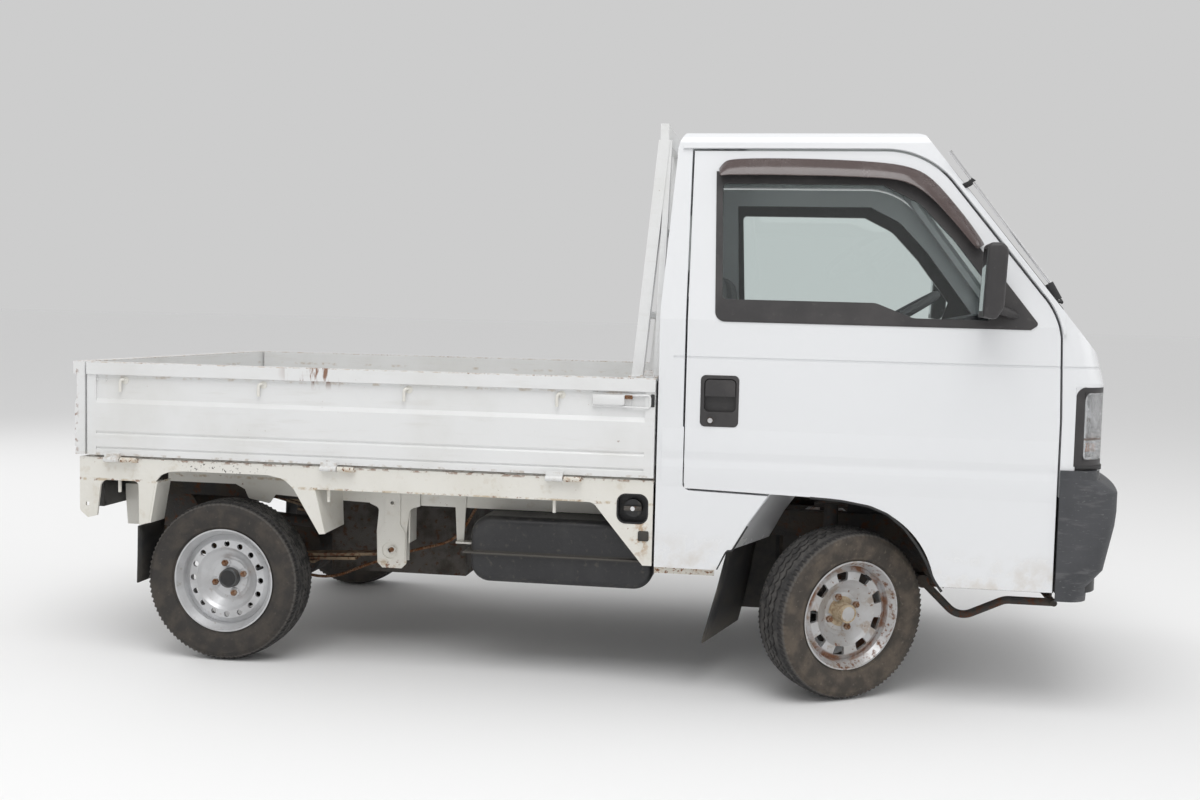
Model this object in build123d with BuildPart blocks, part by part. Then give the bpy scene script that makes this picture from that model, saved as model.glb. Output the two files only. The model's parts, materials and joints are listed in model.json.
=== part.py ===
from build123d import *
from math import cos, radians, sin
import os

# Kei truck with a drop-side bed, right-hand drive.
# Units are millimetres. X points forward, Y to the left, Z up.
# The origin is on the ground, under the middle of the truck.

# Overall sizes
LENGTH = 3255
WHEELBASE = 1900
FRONT_X = LENGTH / 2
REAR_X = -LENGTH / 2
FRONT_AXLE_X = 767.5
REAR_AXLE_X = FRONT_AXLE_X - WHEELBASE

# Cab body
CAB_HALF_WIDTH = 690
CAB_BACK_X = 247
CAB_BOTTOM_Z = 366
BELT_Z = 1120
SIDE_LEAN = 85 / 530
EAVE_Z = 1640
ROOF_TOP_Z = 1712
ROOF_CROWN_DROP = 33
ROOF_CLEAR = 3
NOSE_X = 1577
NOSE_SAG = 72
NOSE_CORNER_R = 110
NOSE_KNEE_Z = 964
NOSE_LEAN_DEG = 15.5
SCREEN_X = 1276
SCREEN_Z = 1380
SCREEN_SLOPE_DEG = 51.1
SCREEN_SAG = 48
SIDE_WALL = 55
ROOF_WALL = 26
BACK_WALL = 32
FRONT_WALL = 34
FLOOR_WALL = 25

# Doors
DOOR_REAR_X = 329
DOOR_FRONT_X = 1390
DOOR_TOP_Z = 1621
DOOR_GAP = 6.5
DOOR_HINGE_INSET_X = 26
DOOR_HINGE_INSET_Y = 6
GLASS = 5

# Bed and gates
BED_HALF_WIDTH = 697.5
DECK_TOP_Z = 650
DECK_THICKNESS = 26
BEAM_FACE_Y = 690
BEAM_TOP_Z = 638
BEAM_BOTTOM_Z = 566
BED_FRONT_X = 239.5
GATE_REAR_X = -1576
GATE_BOTTOM_Z = 646
GATE_TOP_Z = 943
GATE_THICKNESS = 32
TAILGATE_FACE_X = -1618
TAILGATE_THICKNESS = 34
GATE_PIN_Z = 634
GATE_PIN_Y = 706
TAILGATE_PIN_X = -1620.5

# Ladder frame
RAIL_INNER_Y = 310
RAIL_OUTER_Y = 360
DECK_BEARER_Z = 596

# Wheels
TYRE_R = 256
TYRE_WIDTH = 145
RIM_R = 165
HALF_TRACK = 602.5
AXLE_Z = TYRE_R
FRONT_AXLE_Z = 261.332

# Steering: the kingpin leans inwards towards the top of the strut
KINGPIN_Z = 185
KINGPIN_Y = 560
STRUT_TOP_Z = 690
STRUT_TOP_Y = 414
REST_STEER_DEG = 35

os.makedirs("parts", exist_ok=True)


def save(part, name):
    part.label = name
    export_step(part, f"parts/{name}.step")


def mirrored(part):
    """The same piece on the other side of the truck."""
    with BuildPart() as other:
        mirror(part, about=Plane.XZ)
    return other.part


def side_face(points, rounded=()):
    """A sketch face from (x, z) points; rounded is (point index, radius) pairs."""
    with BuildSketch() as outline:
        with BuildLine():
            Polyline(*points, close=True)
        make_face()
        for index, radius in rounded:
            corner = Vector(*points[index])
            fillet(outline.vertices().sort_by_distance(corner)[0], radius)
    return outline.sketch


def side_prism(face, y_low, y_high):
    """A side-view face, carried across the truck from y_low to y_high."""
    with BuildPart() as prism:
        with BuildSketch(Plane.XZ.offset(-y_high)):
            add(face)
        extrude(amount=y_high - y_low)
    return prism.part


def block(x_low, x_high, y_low, y_high, z_low, z_high):
    """A plain block between two opposite corners."""
    with BuildPart() as solid:
        with BuildSketch(Plane.XY.offset(z_low)):
            with Locations(((x_low + x_high) / 2, (y_low + y_high) / 2)):
                Rectangle(x_high - x_low, y_high - y_low)
        extrude(amount=z_high - z_low)
    return solid.part


def slanted_sheet(rows, outer_y, inner_y, slant, thickness=6):
    """A sheet on the right side, seen edge-on as (x, z) rows, with its inner edge further forward."""
    with BuildPart() as sheet:
        for y, ahead in ((outer_y, 0), (inner_y, slant)):
            front = [(x + ahead, z) for x, z in rows]
            back = [(x - thickness, z) for x, z in reversed(front)]
            with BuildSketch(Plane.XZ.offset(y)):
                with BuildLine():
                    Polyline(*front, *back, close=True)
                make_face()
        loft(ruled=True)
    return sheet.part


def bar(start, end, radius):
    """A round bar from one point to another."""
    run = Vector(*end) - Vector(*start)
    with BuildPart() as solid:
        with BuildSketch(Plane(origin=start, z_dir=run)):
            Circle(radius)
        extrude(amount=run.length)
    return solid.part


def fused(*pieces):
    with BuildPart() as solid:
        for piece in pieces:
            add(piece)
    return solid.part


def cut(base, *tools):
    with BuildPart() as solid:
        add(base)
        for tool in tools:
            add(tool, mode=Mode.SUBTRACT)
    return solid.part


def common(base, *tools):
    with BuildPart() as solid:
        add(base)
        for tool in tools:
            add(tool, mode=Mode.INTERSECT)
    return solid.part


# Cab form
# One form gives every cab panel: each wall is the form less a smaller one.

SCREEN_DOWN = (cos(radians(SCREEN_SLOPE_DEG)), 0, -sin(radians(SCREEN_SLOPE_DEG)))
SCREEN_OUT = (sin(radians(SCREEN_SLOPE_DEG)), 0, cos(radians(SCREEN_SLOPE_DEG)))


def screen_plane(inset=0):
    """Origin on the windscreen's middle line; X is left, Y is outwards."""
    origin = Vector(SCREEN_X, 0, SCREEN_Z) - Vector(*SCREEN_OUT) * inset
    return Plane(origin=origin, x_dir=(0, 1, 0), z_dir=SCREEN_DOWN)


def section_face(roof):
    """The cab seen from the front: upright sides, a lean above the belt, a crowned roof."""
    belt_y = CAB_HALF_WIDTH
    eave_z = EAVE_Z - roof
    eave_y = belt_y - SIDE_LEAN * (eave_z - BELT_Z)
    crown_y = eave_y - 46
    crown_z = ROOF_TOP_Z - roof - ROOF_CROWN_DROP
    with BuildSketch() as face:
        with BuildLine():
            Polyline(
                (-eave_y, eave_z),
                (-belt_y, BELT_Z),
                (-belt_y, CAB_BOTTOM_Z),
                (belt_y, CAB_BOTTOM_Z),
                (belt_y, BELT_Z),
                (eave_y, eave_z),
            )
            ThreePointArc((eave_y, eave_z), (eave_y - 13, eave_z + 27), (crown_y, crown_z))
            ThreePointArc((crown_y, crown_z), (0, ROOF_TOP_Z - roof), (-crown_y, crown_z))
            ThreePointArc((-crown_y, crown_z), (-eave_y + 13, eave_z + 27), (-eave_y, eave_z))
        make_face()
    return face.sketch


def side_limit(side):
    """The cab's inside, seen from the front, between side walls of the given thickness."""
    high = EAVE_Z + 160
    belt_y = CAB_HALF_WIDTH - side
    high_y = belt_y - SIDE_LEAN * (high - BELT_Z)
    with BuildSketch() as face:
        with BuildLine():
            Polyline(
                (-high_y, high),
                (-belt_y, BELT_Z),
                (-belt_y, 0),
                (belt_y, 0),
                (belt_y, BELT_Z),
                (high_y, high),
                close=True,
            )
        make_face()
    return face.sketch


def profile_face(roof, back):
    """The cab seen from the side, open to the front, where the nose and windscreen cut it."""
    back_x = CAB_BACK_X + back
    top_z = ROOF_TOP_Z - roof + ROOF_CLEAR
    with BuildSketch() as face:
        with BuildLine():
            Polyline(
                (1800, CAB_BOTTOM_Z - 50),
                (back_x, CAB_BOTTOM_Z - 50),
                (back_x, BELT_Z + 30),
                (back_x + 31, 1600),
            )
            ThreePointArc((back_x + 31, 1600), (back_x + 52, top_z - 40), (back_x + 110, top_z))
            Line((back_x + 110, top_z), (690, top_z))
            ThreePointArc((690, top_z), (880, top_z - 11), (1030, top_z - 57))
            Polyline((1030, top_z - 57), (1800, 1400), (1800, CAB_BOTTOM_Z - 50))
        make_face()
    return face.sketch


def nose_face(front):
    """The cab seen from above: a bowed nose with round corners."""
    nose_x = NOSE_X - front
    half_width = CAB_HALF_WIDTH - front
    with BuildSketch() as face:
        with BuildLine():
            Polyline(
                (nose_x - NOSE_SAG, half_width),
                (-400, half_width),
                (-400, -half_width),
                (nose_x - NOSE_SAG, -half_width),
            )
            ThreePointArc(
                (nose_x - NOSE_SAG, -half_width),
                (nose_x, 0),
                (nose_x - NOSE_SAG, half_width),
            )
        make_face()
        fillet(face.vertices().group_by(Axis.X)[-1], NOSE_CORNER_R - front)
    return face.sketch


def screen_face():
    """The windscreen's bow across the truck, with all that lies behind it."""
    reach = CAB_HALF_WIDTH + 20
    with BuildSketch() as face:
        with BuildLine():
            Polyline((reach, -SCREEN_SAG), (reach, -2500), (-reach, -2500), (-reach, -SCREEN_SAG))
            ThreePointArc((-reach, -SCREEN_SAG), (0, 0), (reach, -SCREEN_SAG))
        make_face()
    return face.sketch


def cab_form(side=0, roof=0, back=0, front=0):
    """The cab's outer form, with each wall moved inwards by the given amount."""
    lean = radians(NOSE_LEAN_DEG)
    with BuildPart() as form:
        with BuildSketch(Plane.YZ.offset(-200)):
            add(section_face(roof))
        extrude(amount=2200)
        with BuildSketch(Plane.XZ.offset(-900)):
            add(profile_face(roof, back))
        extrude(amount=1800, mode=Mode.INTERSECT)
        with BuildSketch(Plane.XY.offset(CAB_BOTTOM_Z - 60)):
            add(nose_face(front))
        extrude(amount=1500, mode=Mode.INTERSECT)
        with BuildSketch(Plane.XY.offset(NOSE_KNEE_Z)):
            add(nose_face(front))
        extrude(amount=1500, dir=(-sin(lean), 0, cos(lean)), both=True, mode=Mode.INTERSECT)
        with BuildSketch(screen_plane(front)):
            add(screen_face())
        extrude(amount=2200, both=True, mode=Mode.INTERSECT)
        if side:
            with BuildSketch(Plane.YZ.offset(-200)):
                add(side_limit(side))
            extrude(amount=2200, mode=Mode.INTERSECT)
    return form.part


def lean_band(outer, inner):
    """A slab that follows the right side of the cab, between two depths below its skin."""
    low = CAB_BOTTOM_Z
    high = EAVE_Z + 20
    drop = SIDE_LEAN * (high - BELT_Z)
    y_out = outer - CAB_HALF_WIDTH
    y_in = inner - CAB_HALF_WIDTH
    with BuildPart() as band:
        with BuildSketch(Plane.YZ.offset(200)):
            with BuildLine():
                Polyline(
                    (y_out, low),
                    (y_out, BELT_Z),
                    (y_out + drop, high),
                    (y_in + drop, high),
                    (y_in, BELT_Z),
                    (y_in, low),
                    close=True,
                )
            make_face()
        extrude(amount=1300)
    return band.part


outer_form = cab_form()
side_form = cab_form(side=SIDE_WALL)
roof_form = cab_form(side=SIDE_WALL, roof=ROOF_WALL)
back_form = cab_form(side=SIDE_WALL, roof=ROOF_WALL, back=BACK_WALL)
inner_form = cab_form(side=SIDE_WALL, roof=ROOF_WALL, back=BACK_WALL, front=FRONT_WALL)

# Body crease: a shallow groove round the doors, pillars and nose
CREASE_Z = 1009
CREASE_HEIGHT = 7
CREASE_DEPTH = 2.5
CREASE_START_X = 290
crease_band = block(
    CREASE_START_X,
    1700,
    -760,
    760,
    CREASE_Z - CREASE_HEIGHT / 2,
    CREASE_Z + CREASE_HEIGHT / 2,
)
crease = cut(crease_band, cab_form(side=CREASE_DEPTH, front=CREASE_DEPTH))

side_walls = cut(outer_form, side_form, crease)
front_wall = cut(back_form, inner_form, crease)


# Door outline, seen from the side, with the front part of the wheel arch cut in it
with BuildSketch() as door_outline:
    with BuildLine():
        Line((DOOR_REAR_X, 621), (DOOR_REAR_X, DOOR_TOP_Z))
        Line((DOOR_REAR_X, DOOR_TOP_Z), (890, DOOR_TOP_Z))
        ThreePointArc((890, DOOR_TOP_Z), (1000, 1592), (1075, 1530))
        Line((1075, 1530), (1326, 1213))
        ThreePointArc((1326, 1213), (1364, 1155), (1382, 1090))
        Line((1382, 1090), (DOOR_FRONT_X, 860))
        Line((DOOR_FRONT_X, 860), (DOOR_FRONT_X, 352))
        Line((DOOR_FRONT_X, 352), (1088, 350))
        Line((1088, 350), (1061, 385))
        ThreePointArc((1061, 385), (1004, 507), (872, 592))
        ThreePointArc((872, 592), (790, 606), (700, 610))
        Line((700, 610), (DOOR_REAR_X, 621))
    make_face()
    fillet(door_outline.vertices().sort_by_distance((DOOR_REAR_X, 621))[0], 22)
door_prism = side_prism(door_outline.sketch, -760, 0)

with BuildSketch() as door_opening_outline:
    add(door_outline.sketch)
    offset(amount=DOOR_GAP, kind=Kind.INTERSECTION)
door_opening = side_prism(door_opening_outline.sketch, -760, 0)

# The rear part of the wheel arch, below the door's line, and the cut along the sill's foot
SILL_BOTTOM_Z = 380
arch_points = (
    (200, 300),
    (200, SILL_BOTTOM_Z),
    (432, SILL_BOTTOM_Z),
    (459, 441),
    (476, 443),
    (519, 519),
    (582, 614),
    (582, 640),
    (1397, 640),
    (1397, 300),
)
arch_opening = side_prism(side_face(arch_points), -760, 0)

NOSE_SPLIT_X = 1397
NOSE_SPLIT_Z = 1130
nose_corner = block(NOSE_SPLIT_X, 1700, -760, 760, 300, NOSE_SPLIT_Z)

# Windscreen opening, seen square to the glass: half widths at its foot and head
SCREEN_FOOT = (602, -236)
SCREEN_HEAD = (533, 300)
with BuildPart() as screen_opening:
    with BuildSketch(Plane(origin=(SCREEN_X, 0, SCREEN_Z), x_dir=(0, 1, 0), z_dir=SCREEN_OUT)) as hole:
        with BuildLine():
            Polyline(
                SCREEN_FOOT,
                SCREEN_HEAD,
                (-SCREEN_HEAD[0], SCREEN_HEAD[1]),
                (-SCREEN_FOOT[0], SCREEN_FOOT[1]),
                close=True,
            )
        make_face()
        fillet(hole.vertices(), 50)
    extrude(amount=170, both=True)

with BuildPart() as windscreen:
    with BuildSketch(screen_plane(12)):
        add(screen_face())
    extrude(amount=600, both=True)
    with BuildSketch(screen_plane(12 + GLASS)):
        add(screen_face())
    extrude(amount=700, both=True, mode=Mode.SUBTRACT)
    add(screen_opening.part, mode=Mode.INTERSECT)
save(windscreen.part, "windscreen")

# Drip rail: a raised lip that runs over the door and down the windscreen pillar
RAIL_GAP = 8
RAIL_WIDTH = 10
RAIL_PROUD = 8
RAIL_ROOT = 12
RAIL_REAR_X = 295
with BuildSketch() as rail_outer:
    add(door_outline.sketch)
    offset(amount=RAIL_GAP + RAIL_WIDTH)
with BuildSketch() as rail_inner:
    add(door_outline.sketch)
    offset(amount=RAIL_GAP)
with BuildSketch() as drip_outline:
    add(rail_outer.sketch)
    add(rail_inner.sketch, mode=Mode.SUBTRACT)
    with BuildLine():
        Polyline(
            (DOOR_REAR_X, DOOR_TOP_Z),
            (890, 1605),
            (1060, 1500),
            (1340, 1102),
            (1396.5, 1102),
            (1396.5, 1700),
            (DOOR_REAR_X, 1700),
            close=True,
        )
    make_face(mode=Mode.INTERSECT)
    with Locations((RAIL_REAR_X, DOOR_TOP_Z + RAIL_GAP)):
        Rectangle(DOOR_REAR_X - RAIL_REAR_X + 1, RAIL_WIDTH, align=Align.MIN)
drip_rail = common(lean_band(-RAIL_PROUD, RAIL_ROOT), side_prism(drip_outline.sketch, -760, 0))

# Side frames: rear pillar, sill, roof rail and windscreen pillar
right_half = block(0, 1800, -900, 0, 300, 1900)
side_frame = fused(cut(side_walls, door_opening, arch_opening, nose_corner), drip_rail)
right_side = common(side_frame, right_half)
save(right_side, "cab_right_side")
save(mirrored(right_side), "cab_left_side")

# Nose panel: the front wall up to the windscreen's foot, with both front corners
LAMP_LOW = (1432, 425, 729)
LAMP_HIGH = (1700, 760, 954)
LENS_LOW = (1458, 440, 749)
LENS_HIGH = (1700, 760, 939)
LAMP_GAP = 1
LENS_GAP = 0.5
LENS_THICKNESS = 20


def corner_box(low, high, inset):
    """A block between two corners on the left side, smaller all round except outwards."""
    return block(
        low[0] + inset,
        high[0],
        low[1] + inset,
        high[1],
        low[2] + inset,
        high[2] - inset,
    )


lamp_cut = corner_box(LAMP_LOW, LAMP_HIGH, 0)
nose_panel = cut(
    fused(front_wall, common(side_walls, nose_corner)),
    screen_opening.part,
    lamp_cut,
    mirrored(lamp_cut),
)
save(nose_panel, "nose_panel")

# Headlamps: a clear lens over a turn lens on each corner, in a black bezel
lamp_shell = cut(outer_form, cab_form(side=LENS_THICKNESS, front=LENS_THICKNESS))
left_lens = common(lamp_shell, corner_box(LENS_LOW, LENS_HIGH, LENS_GAP))
with BuildPart() as headlamps:
    add(left_lens)
    mirror(left_lens, about=Plane.XZ)
save(headlamps.part, "headlamps")
left_bezel = cut(
    common(cut(outer_form, inner_form), corner_box(LAMP_LOW, LAMP_HIGH, LAMP_GAP)),
    corner_box(LENS_LOW, LENS_HIGH, 0),
)
with BuildPart() as lamp_bezels:
    add(left_bezel)
    mirror(left_bezel, about=Plane.XZ)
save(lamp_bezels.part, "lamp_bezels")

# Roof
save(cut(side_form, roof_form), "cab_roof")

# Back wall with its window
WINDOW_HALF_WIDTH = 430
WINDOW_LOW_Z = 1195
WINDOW_HIGH_Z = 1500
with BuildPart() as back_window_opening:
    with BuildSketch(Plane.YZ.offset(200)):
        with Locations((0, (WINDOW_LOW_Z + WINDOW_HIGH_Z) / 2)):
            RectangleRounded(2 * WINDOW_HALF_WIDTH, WINDOW_HIGH_Z - WINDOW_LOW_Z, 45)
    extrude(amount=150)
below_platform = block(0, 1800, -760, 760, 300, 702)
save(cut(roof_form, back_form, back_window_opening.part, below_platform), "cab_back_wall")
with BuildPart() as rear_window:
    add(
        side_prism(
            side_face(((258, 1150), (289, 1600), (289 + GLASS, 1600), (258 + GLASS, 1150))),
            -500,
            500,
        )
    )
    add(back_window_opening.part, mode=Mode.INTERSECT)
save(rear_window.part, "rear_window")

# Floor: a low foot well, and a raised platform over the front wheels that carries the seats
FOOT_WELL_Z = 395
PLATFORM_Z = 702
FLOOR_HALF_WIDTH = 628
floor_points = (
    (281, PLATFORM_Z),
    (1000, PLATFORM_Z),
    (1095, FOOT_WELL_Z),
    (1500, FOOT_WELL_Z),
    (1500, FOOT_WELL_Z + FLOOR_WALL),
    (1114, FOOT_WELL_Z + FLOOR_WALL),
    (1019, PLATFORM_Z + FLOOR_WALL),
    (281, PLATFORM_Z + FLOOR_WALL),
)
HOUSE_OUTER_Y = 628
HOUSE_INNER_Y = 372
HOUSE_SLANT = 96
wheelhouse_rows = ((482, 436), (525, 518), (590, 612), (596, PLATFORM_Z + 4))
with BuildPart() as cab_floor:
    add(side_prism(side_face(floor_points), -FLOOR_HALF_WIDTH, FLOOR_HALF_WIDTH))
    add(inner_form, mode=Mode.INTERSECT)
    wheelhouse_wall = slanted_sheet(wheelhouse_rows, HOUSE_OUTER_Y, HOUSE_INNER_Y, HOUSE_SLANT)
    add(wheelhouse_wall)
    mirror(wheelhouse_wall, about=Plane.XZ)
save(cab_floor.part, "cab_floor")

# Dashboard: a moulded block with a sloping face and a hood over the dials
dash_points = (
    (1430, 905),
    (1150, 905),
    (1110, 985),
    (1130, 1085),
    (1200, 1120),
    (1405, 1128),
    (1462, 1045),
)
hood_points = ((1105, 1030), (1115, 1140), (1200, 1158), (1260, 1110))
with BuildPart() as dashboard:
    add(side_prism(side_face(dash_points, ((2, 20), (3, 25))), -615, 615))
    add(side_prism(side_face(hood_points), -520, -170))
    add(inner_form, mode=Mode.INTERSECT)
save(dashboard.part, "dashboard")

# Seats: two cushions and two leaning backs
SEAT_Y = 322
SEAT_HALF_WIDTH = 238
cushion_points = ((452, 732), (905, 732), (925, 838), (455, 838))
back_points = ((345, 845), (440, 845), (392, 1300), (318, 1300))
with BuildPart() as seats:
    for middle in (-SEAT_Y, SEAT_Y):
        for points, radius in ((cushion_points, 24), (back_points, 24)):
            corners = tuple((index, radius) for index in range(4))
            add(
                side_prism(
                    side_face(points, corners),
                    middle - SEAT_HALF_WIDTH,
                    middle + SEAT_HALF_WIDTH,
                )
            )
save(seats.part, "seats")

# Steering column and wheel, on the right
COLUMN_Y = -330
COLUMN_FOOT = Vector(1196, COLUMN_Y, 640)
WHEEL_CENTRE = Vector(909, COLUMN_Y, 1117)
COLUMN_R = 26
SHAFT_R = 14
SHAFT_FOOT = Vector(1324, COLUMN_Y, 438)
column_run = WHEEL_CENTRE - COLUMN_FOOT
column_dir = column_run.normalized()
shroud_points = ((985, 1010), (1040, 905), (1170, 900), (1170, 1060), (1050, 1085))
with BuildPart() as steering_column:
    add(bar(COLUMN_FOOT, WHEEL_CENTRE - column_dir * 60, COLUMN_R))
    add(bar(SHAFT_FOOT, COLUMN_FOOT + column_dir * 20, SHAFT_R))
    add(side_prism(side_face(shroud_points), COLUMN_Y - 42, COLUMN_Y + 42))
    add(dashboard.part, mode=Mode.SUBTRACT)
with BuildPart() as column_piece:
    add(steering_column.part.solids().sort_by(SortBy.VOLUME)[-1])
save(column_piece.part, "steering_column")
WHEEL_RING_R = 185
wheel_plane = Plane(origin=WHEEL_CENTRE, z_dir=column_dir)
with BuildPart() as steering_wheel:
    with BuildSketch(Plane(origin=WHEEL_CENTRE, x_dir=wheel_plane.x_dir, z_dir=wheel_plane.y_dir)):
        with Locations((WHEEL_RING_R, 0)):
            RegularPolygon(14, 8)
    revolve(axis=Axis(WHEEL_CENTRE, column_dir))
    with BuildSketch(wheel_plane.offset(-45)):
        Circle(38)
    extrude(amount=42)
    for turn in (100, 260):
        spoke = wheel_plane.x_dir.rotate(Axis((0, 0, 0), column_dir), turn)
        add(bar(WHEEL_CENTRE - column_dir * 22, WHEEL_CENTRE + spoke * (WHEEL_RING_R - 6), 11))
save(steering_wheel.part, "steering_wheel")


# Doors

# Window trim, the black surround, and the glass inside it
with BuildSketch() as trim_outline:
    with BuildLine():
        Polyline(
            (409, 1116),
            (396, 1560),
            (900, 1560),
            (1010, 1505),
            (1120, 1390),
            (1322, 1128),
            (1300, 1112),
            close=True,
        )
    make_face()
    for corner, radius in (
        ((409, 1116), 30),
        ((1322, 1128), 9),
        ((1010, 1505), 120),
        ((1120, 1390), 200),
    ):
        fillet(trim_outline.vertices().sort_by_distance(corner)[0], radius)
trim_prism = side_prism(trim_outline.sketch, -760, 0)

with BuildSketch() as glass_outline:
    with BuildLine():
        Polyline(
            (428, 1182),
            (416, 1524),
            (880, 1522),
            (985, 1470),
            (1085, 1365),
            (1208, 1205),
            (1185, 1136),
            (975, 1138),
            (868, 1180),
            close=True,
        )
    make_face()
    for corner, radius in (
        ((428, 1182), 14),
        ((416, 1524), 14),
        ((985, 1470), 90),
        ((1085, 1365), 200),
        ((975, 1138), 60),
        ((868, 1180), 60),
    ):
        fillet(glass_outline.vertices().sort_by_distance(corner)[0], radius)
glass_prism = side_prism(glass_outline.sketch, -760, 0)

# Door handle: a black plate let into the skin, with a pull flap over a finger recess and a lock
HANDLE_CENTRE = (428.5, 882)
HANDLE_WIDTH = 113
HANDLE_HEIGHT = 152
HANDLE_DEPTH = 24
HANDLE_PROUD = 1.5
HANDLE_ROUND = 15
POCKET_CENTRE = (430, 899)
POCKET_WIDTH = 94
POCKET_HEIGHT = 98
POCKET_DEPTH = 18
LOCK_CENTRE = (405, 828)
LOCK_R = 13
handle_floor = Plane.XZ.offset(CAB_HALF_WIDTH - HANDLE_DEPTH)
with BuildPart() as handle_cut:
    with BuildSketch(handle_floor):
        with Locations(HANDLE_CENTRE):
            RectangleRounded(HANDLE_WIDTH, HANDLE_HEIGHT, HANDLE_ROUND)
    extrude(amount=HANDLE_DEPTH + 30)
with BuildPart() as right_handle:
    with BuildSketch(handle_floor):
        with Locations(HANDLE_CENTRE):
            RectangleRounded(HANDLE_WIDTH - 1, HANDLE_HEIGHT - 1, HANDLE_ROUND - 0.5)
    extrude(amount=HANDLE_DEPTH + HANDLE_PROUD)
    with BuildSketch(Plane.XZ.offset(CAB_HALF_WIDTH + HANDLE_PROUD - POCKET_DEPTH)):
        with Locations(POCKET_CENTRE):
            RectangleRounded(POCKET_WIDTH, POCKET_HEIGHT, HANDLE_ROUND)
    extrude(amount=POCKET_DEPTH + 10, mode=Mode.SUBTRACT)
    flap_face = side_face(((386, 896), (474, 896), (474, 945), (386, 945)), ((2, 12), (3, 12)))
    add(side_prism(flap_face, -CAB_HALF_WIDTH - HANDLE_PROUD, -CAB_HALF_WIDTH + 5))
    stem_face = side_face(((400, 922), (460, 922), (460, 938), (400, 938)))
    add(side_prism(stem_face, -CAB_HALF_WIDTH, -CAB_HALF_WIDTH + POCKET_DEPTH))
    with BuildSketch(Plane.XZ.offset(CAB_HALF_WIDTH)):
        with Locations(LOCK_CENTRE):
            Circle(LOCK_R)
    extrude(amount=HANDLE_PROUD + 2.5)
save(right_handle.part, "right_door_handle")
save(mirrored(right_handle.part), "left_door_handle")

right_door = cut(common(side_walls, door_prism, right_half), trim_prism, handle_cut.part)
save(right_door, "right_door")
save(mirrored(right_door), "left_door")

right_trim = cut(common(lean_band(-2, 26), trim_prism), glass_prism)
save(right_trim, "right_window_trim")
save(mirrored(right_trim), "left_window_trim")

right_glass = common(lean_band(12, 12 + GLASS), glass_prism)
save(right_glass, "right_door_glass")
save(mirrored(right_glass), "left_door_glass")

# Mirrors on short arms from the front corner of the window trim
mirror_points = ((1150, 1146), (1158, 1350), (1213, 1350), (1206, 1172), (1186, 1139))
with BuildPart() as right_mirror:
    with BuildSketch(Plane.XZ.offset(718)):
        add(side_face(mirror_points, ((1, 14), (2, 26), (3, 20), (4, 14))))
    extrude(amount=114)
    fillet(right_mirror.faces().sort_by(Axis.Y)[0].edges(), 12)
    fillet(right_mirror.faces().sort_by(Axis.Y)[-1].edges(), 8)
    add(bar((1262, -676, 1150), (1194, -726, 1172), 13))
right_mirror_solid = cut(right_mirror.part, lean_band(-2, 60))
save(right_mirror_solid, "right_mirror")
save(mirrored(right_mirror_solid), "left_mirror")


# Front bumper: a bowed shell that wraps round both corners
BUMPER_TOP_Z = 718
BUMPER_BULGE_Z = 657
BUMPER_BOTTOM_Z = 343
BUMPER_REAR_X = 1397
BUMPER_HALF_WIDTH = 697


def bumper_face(setback, half_width):
    """The bumper seen from above, with its front moved back by the given amount."""
    front_x = FRONT_X - setback
    corner_x = front_x - 74
    with BuildSketch() as face:
        with BuildLine():
            Polyline(
                (corner_x, half_width),
                (BUMPER_REAR_X, half_width),
                (BUMPER_REAR_X, -half_width),
                (corner_x, -half_width),
            )
            ThreePointArc((corner_x, -half_width), (front_x, 0), (corner_x, half_width))
        make_face()
        fillet(face.vertices().group_by(Axis.X)[-1], 62)
    return face.sketch


BUMPER_SKIN = 14
BUMPER_SECTIONS = (  # height, setback of the front
    (BUMPER_BOTTOM_Z, 74),
    (384, 72),
    (432, 30),
    (560, 4),
    (602, 0),
    (BUMPER_BULGE_Z, 0),
    (690, 54),
    (BUMPER_TOP_Z, 58),
)
INTAKE_ROWS = (  # low edge, high edge, half width
    (418, 466, 330),
    (490, 538, 400),
)
PLATE_HOLE_PITCH = 210
PLATE_HOLE_Z = 620
PLATE_HOLE_R = 4
with BuildPart() as bumper_inside:
    for z, setback in BUMPER_SECTIONS:
        level = min(max(z, BUMPER_BOTTOM_Z - 1), BUMPER_TOP_Z - BUMPER_SKIN)
        with BuildSketch(Plane.XY.offset(level)):
            add(bumper_face(setback + BUMPER_SKIN, BUMPER_HALF_WIDTH - 5))
    loft(ruled=True)
with BuildPart() as front_bumper:
    for z, setback in BUMPER_SECTIONS:
        with BuildSketch(Plane.XY.offset(z)):
            add(bumper_face(setback, BUMPER_HALF_WIDTH))
    loft(ruled=True)
    add(bumper_inside.part, mode=Mode.SUBTRACT)
    add(cab_form(side=-1, front=-1), mode=Mode.SUBTRACT)
    for low, high, half in INTAKE_ROWS:
        add(block(1530, 1700, -half, half, low, high), mode=Mode.SUBTRACT)
    with BuildSketch(Plane.YZ.offset(1500)):
        with Locations((0, PLATE_HOLE_Z)):
            with GridLocations(PLATE_HOLE_PITCH, 0, 2, 1):
                Circle(PLATE_HOLE_R)
    extrude(amount=200, mode=Mode.SUBTRACT)
save(front_bumper.part, "front_bumper")


# Ladder frame

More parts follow.
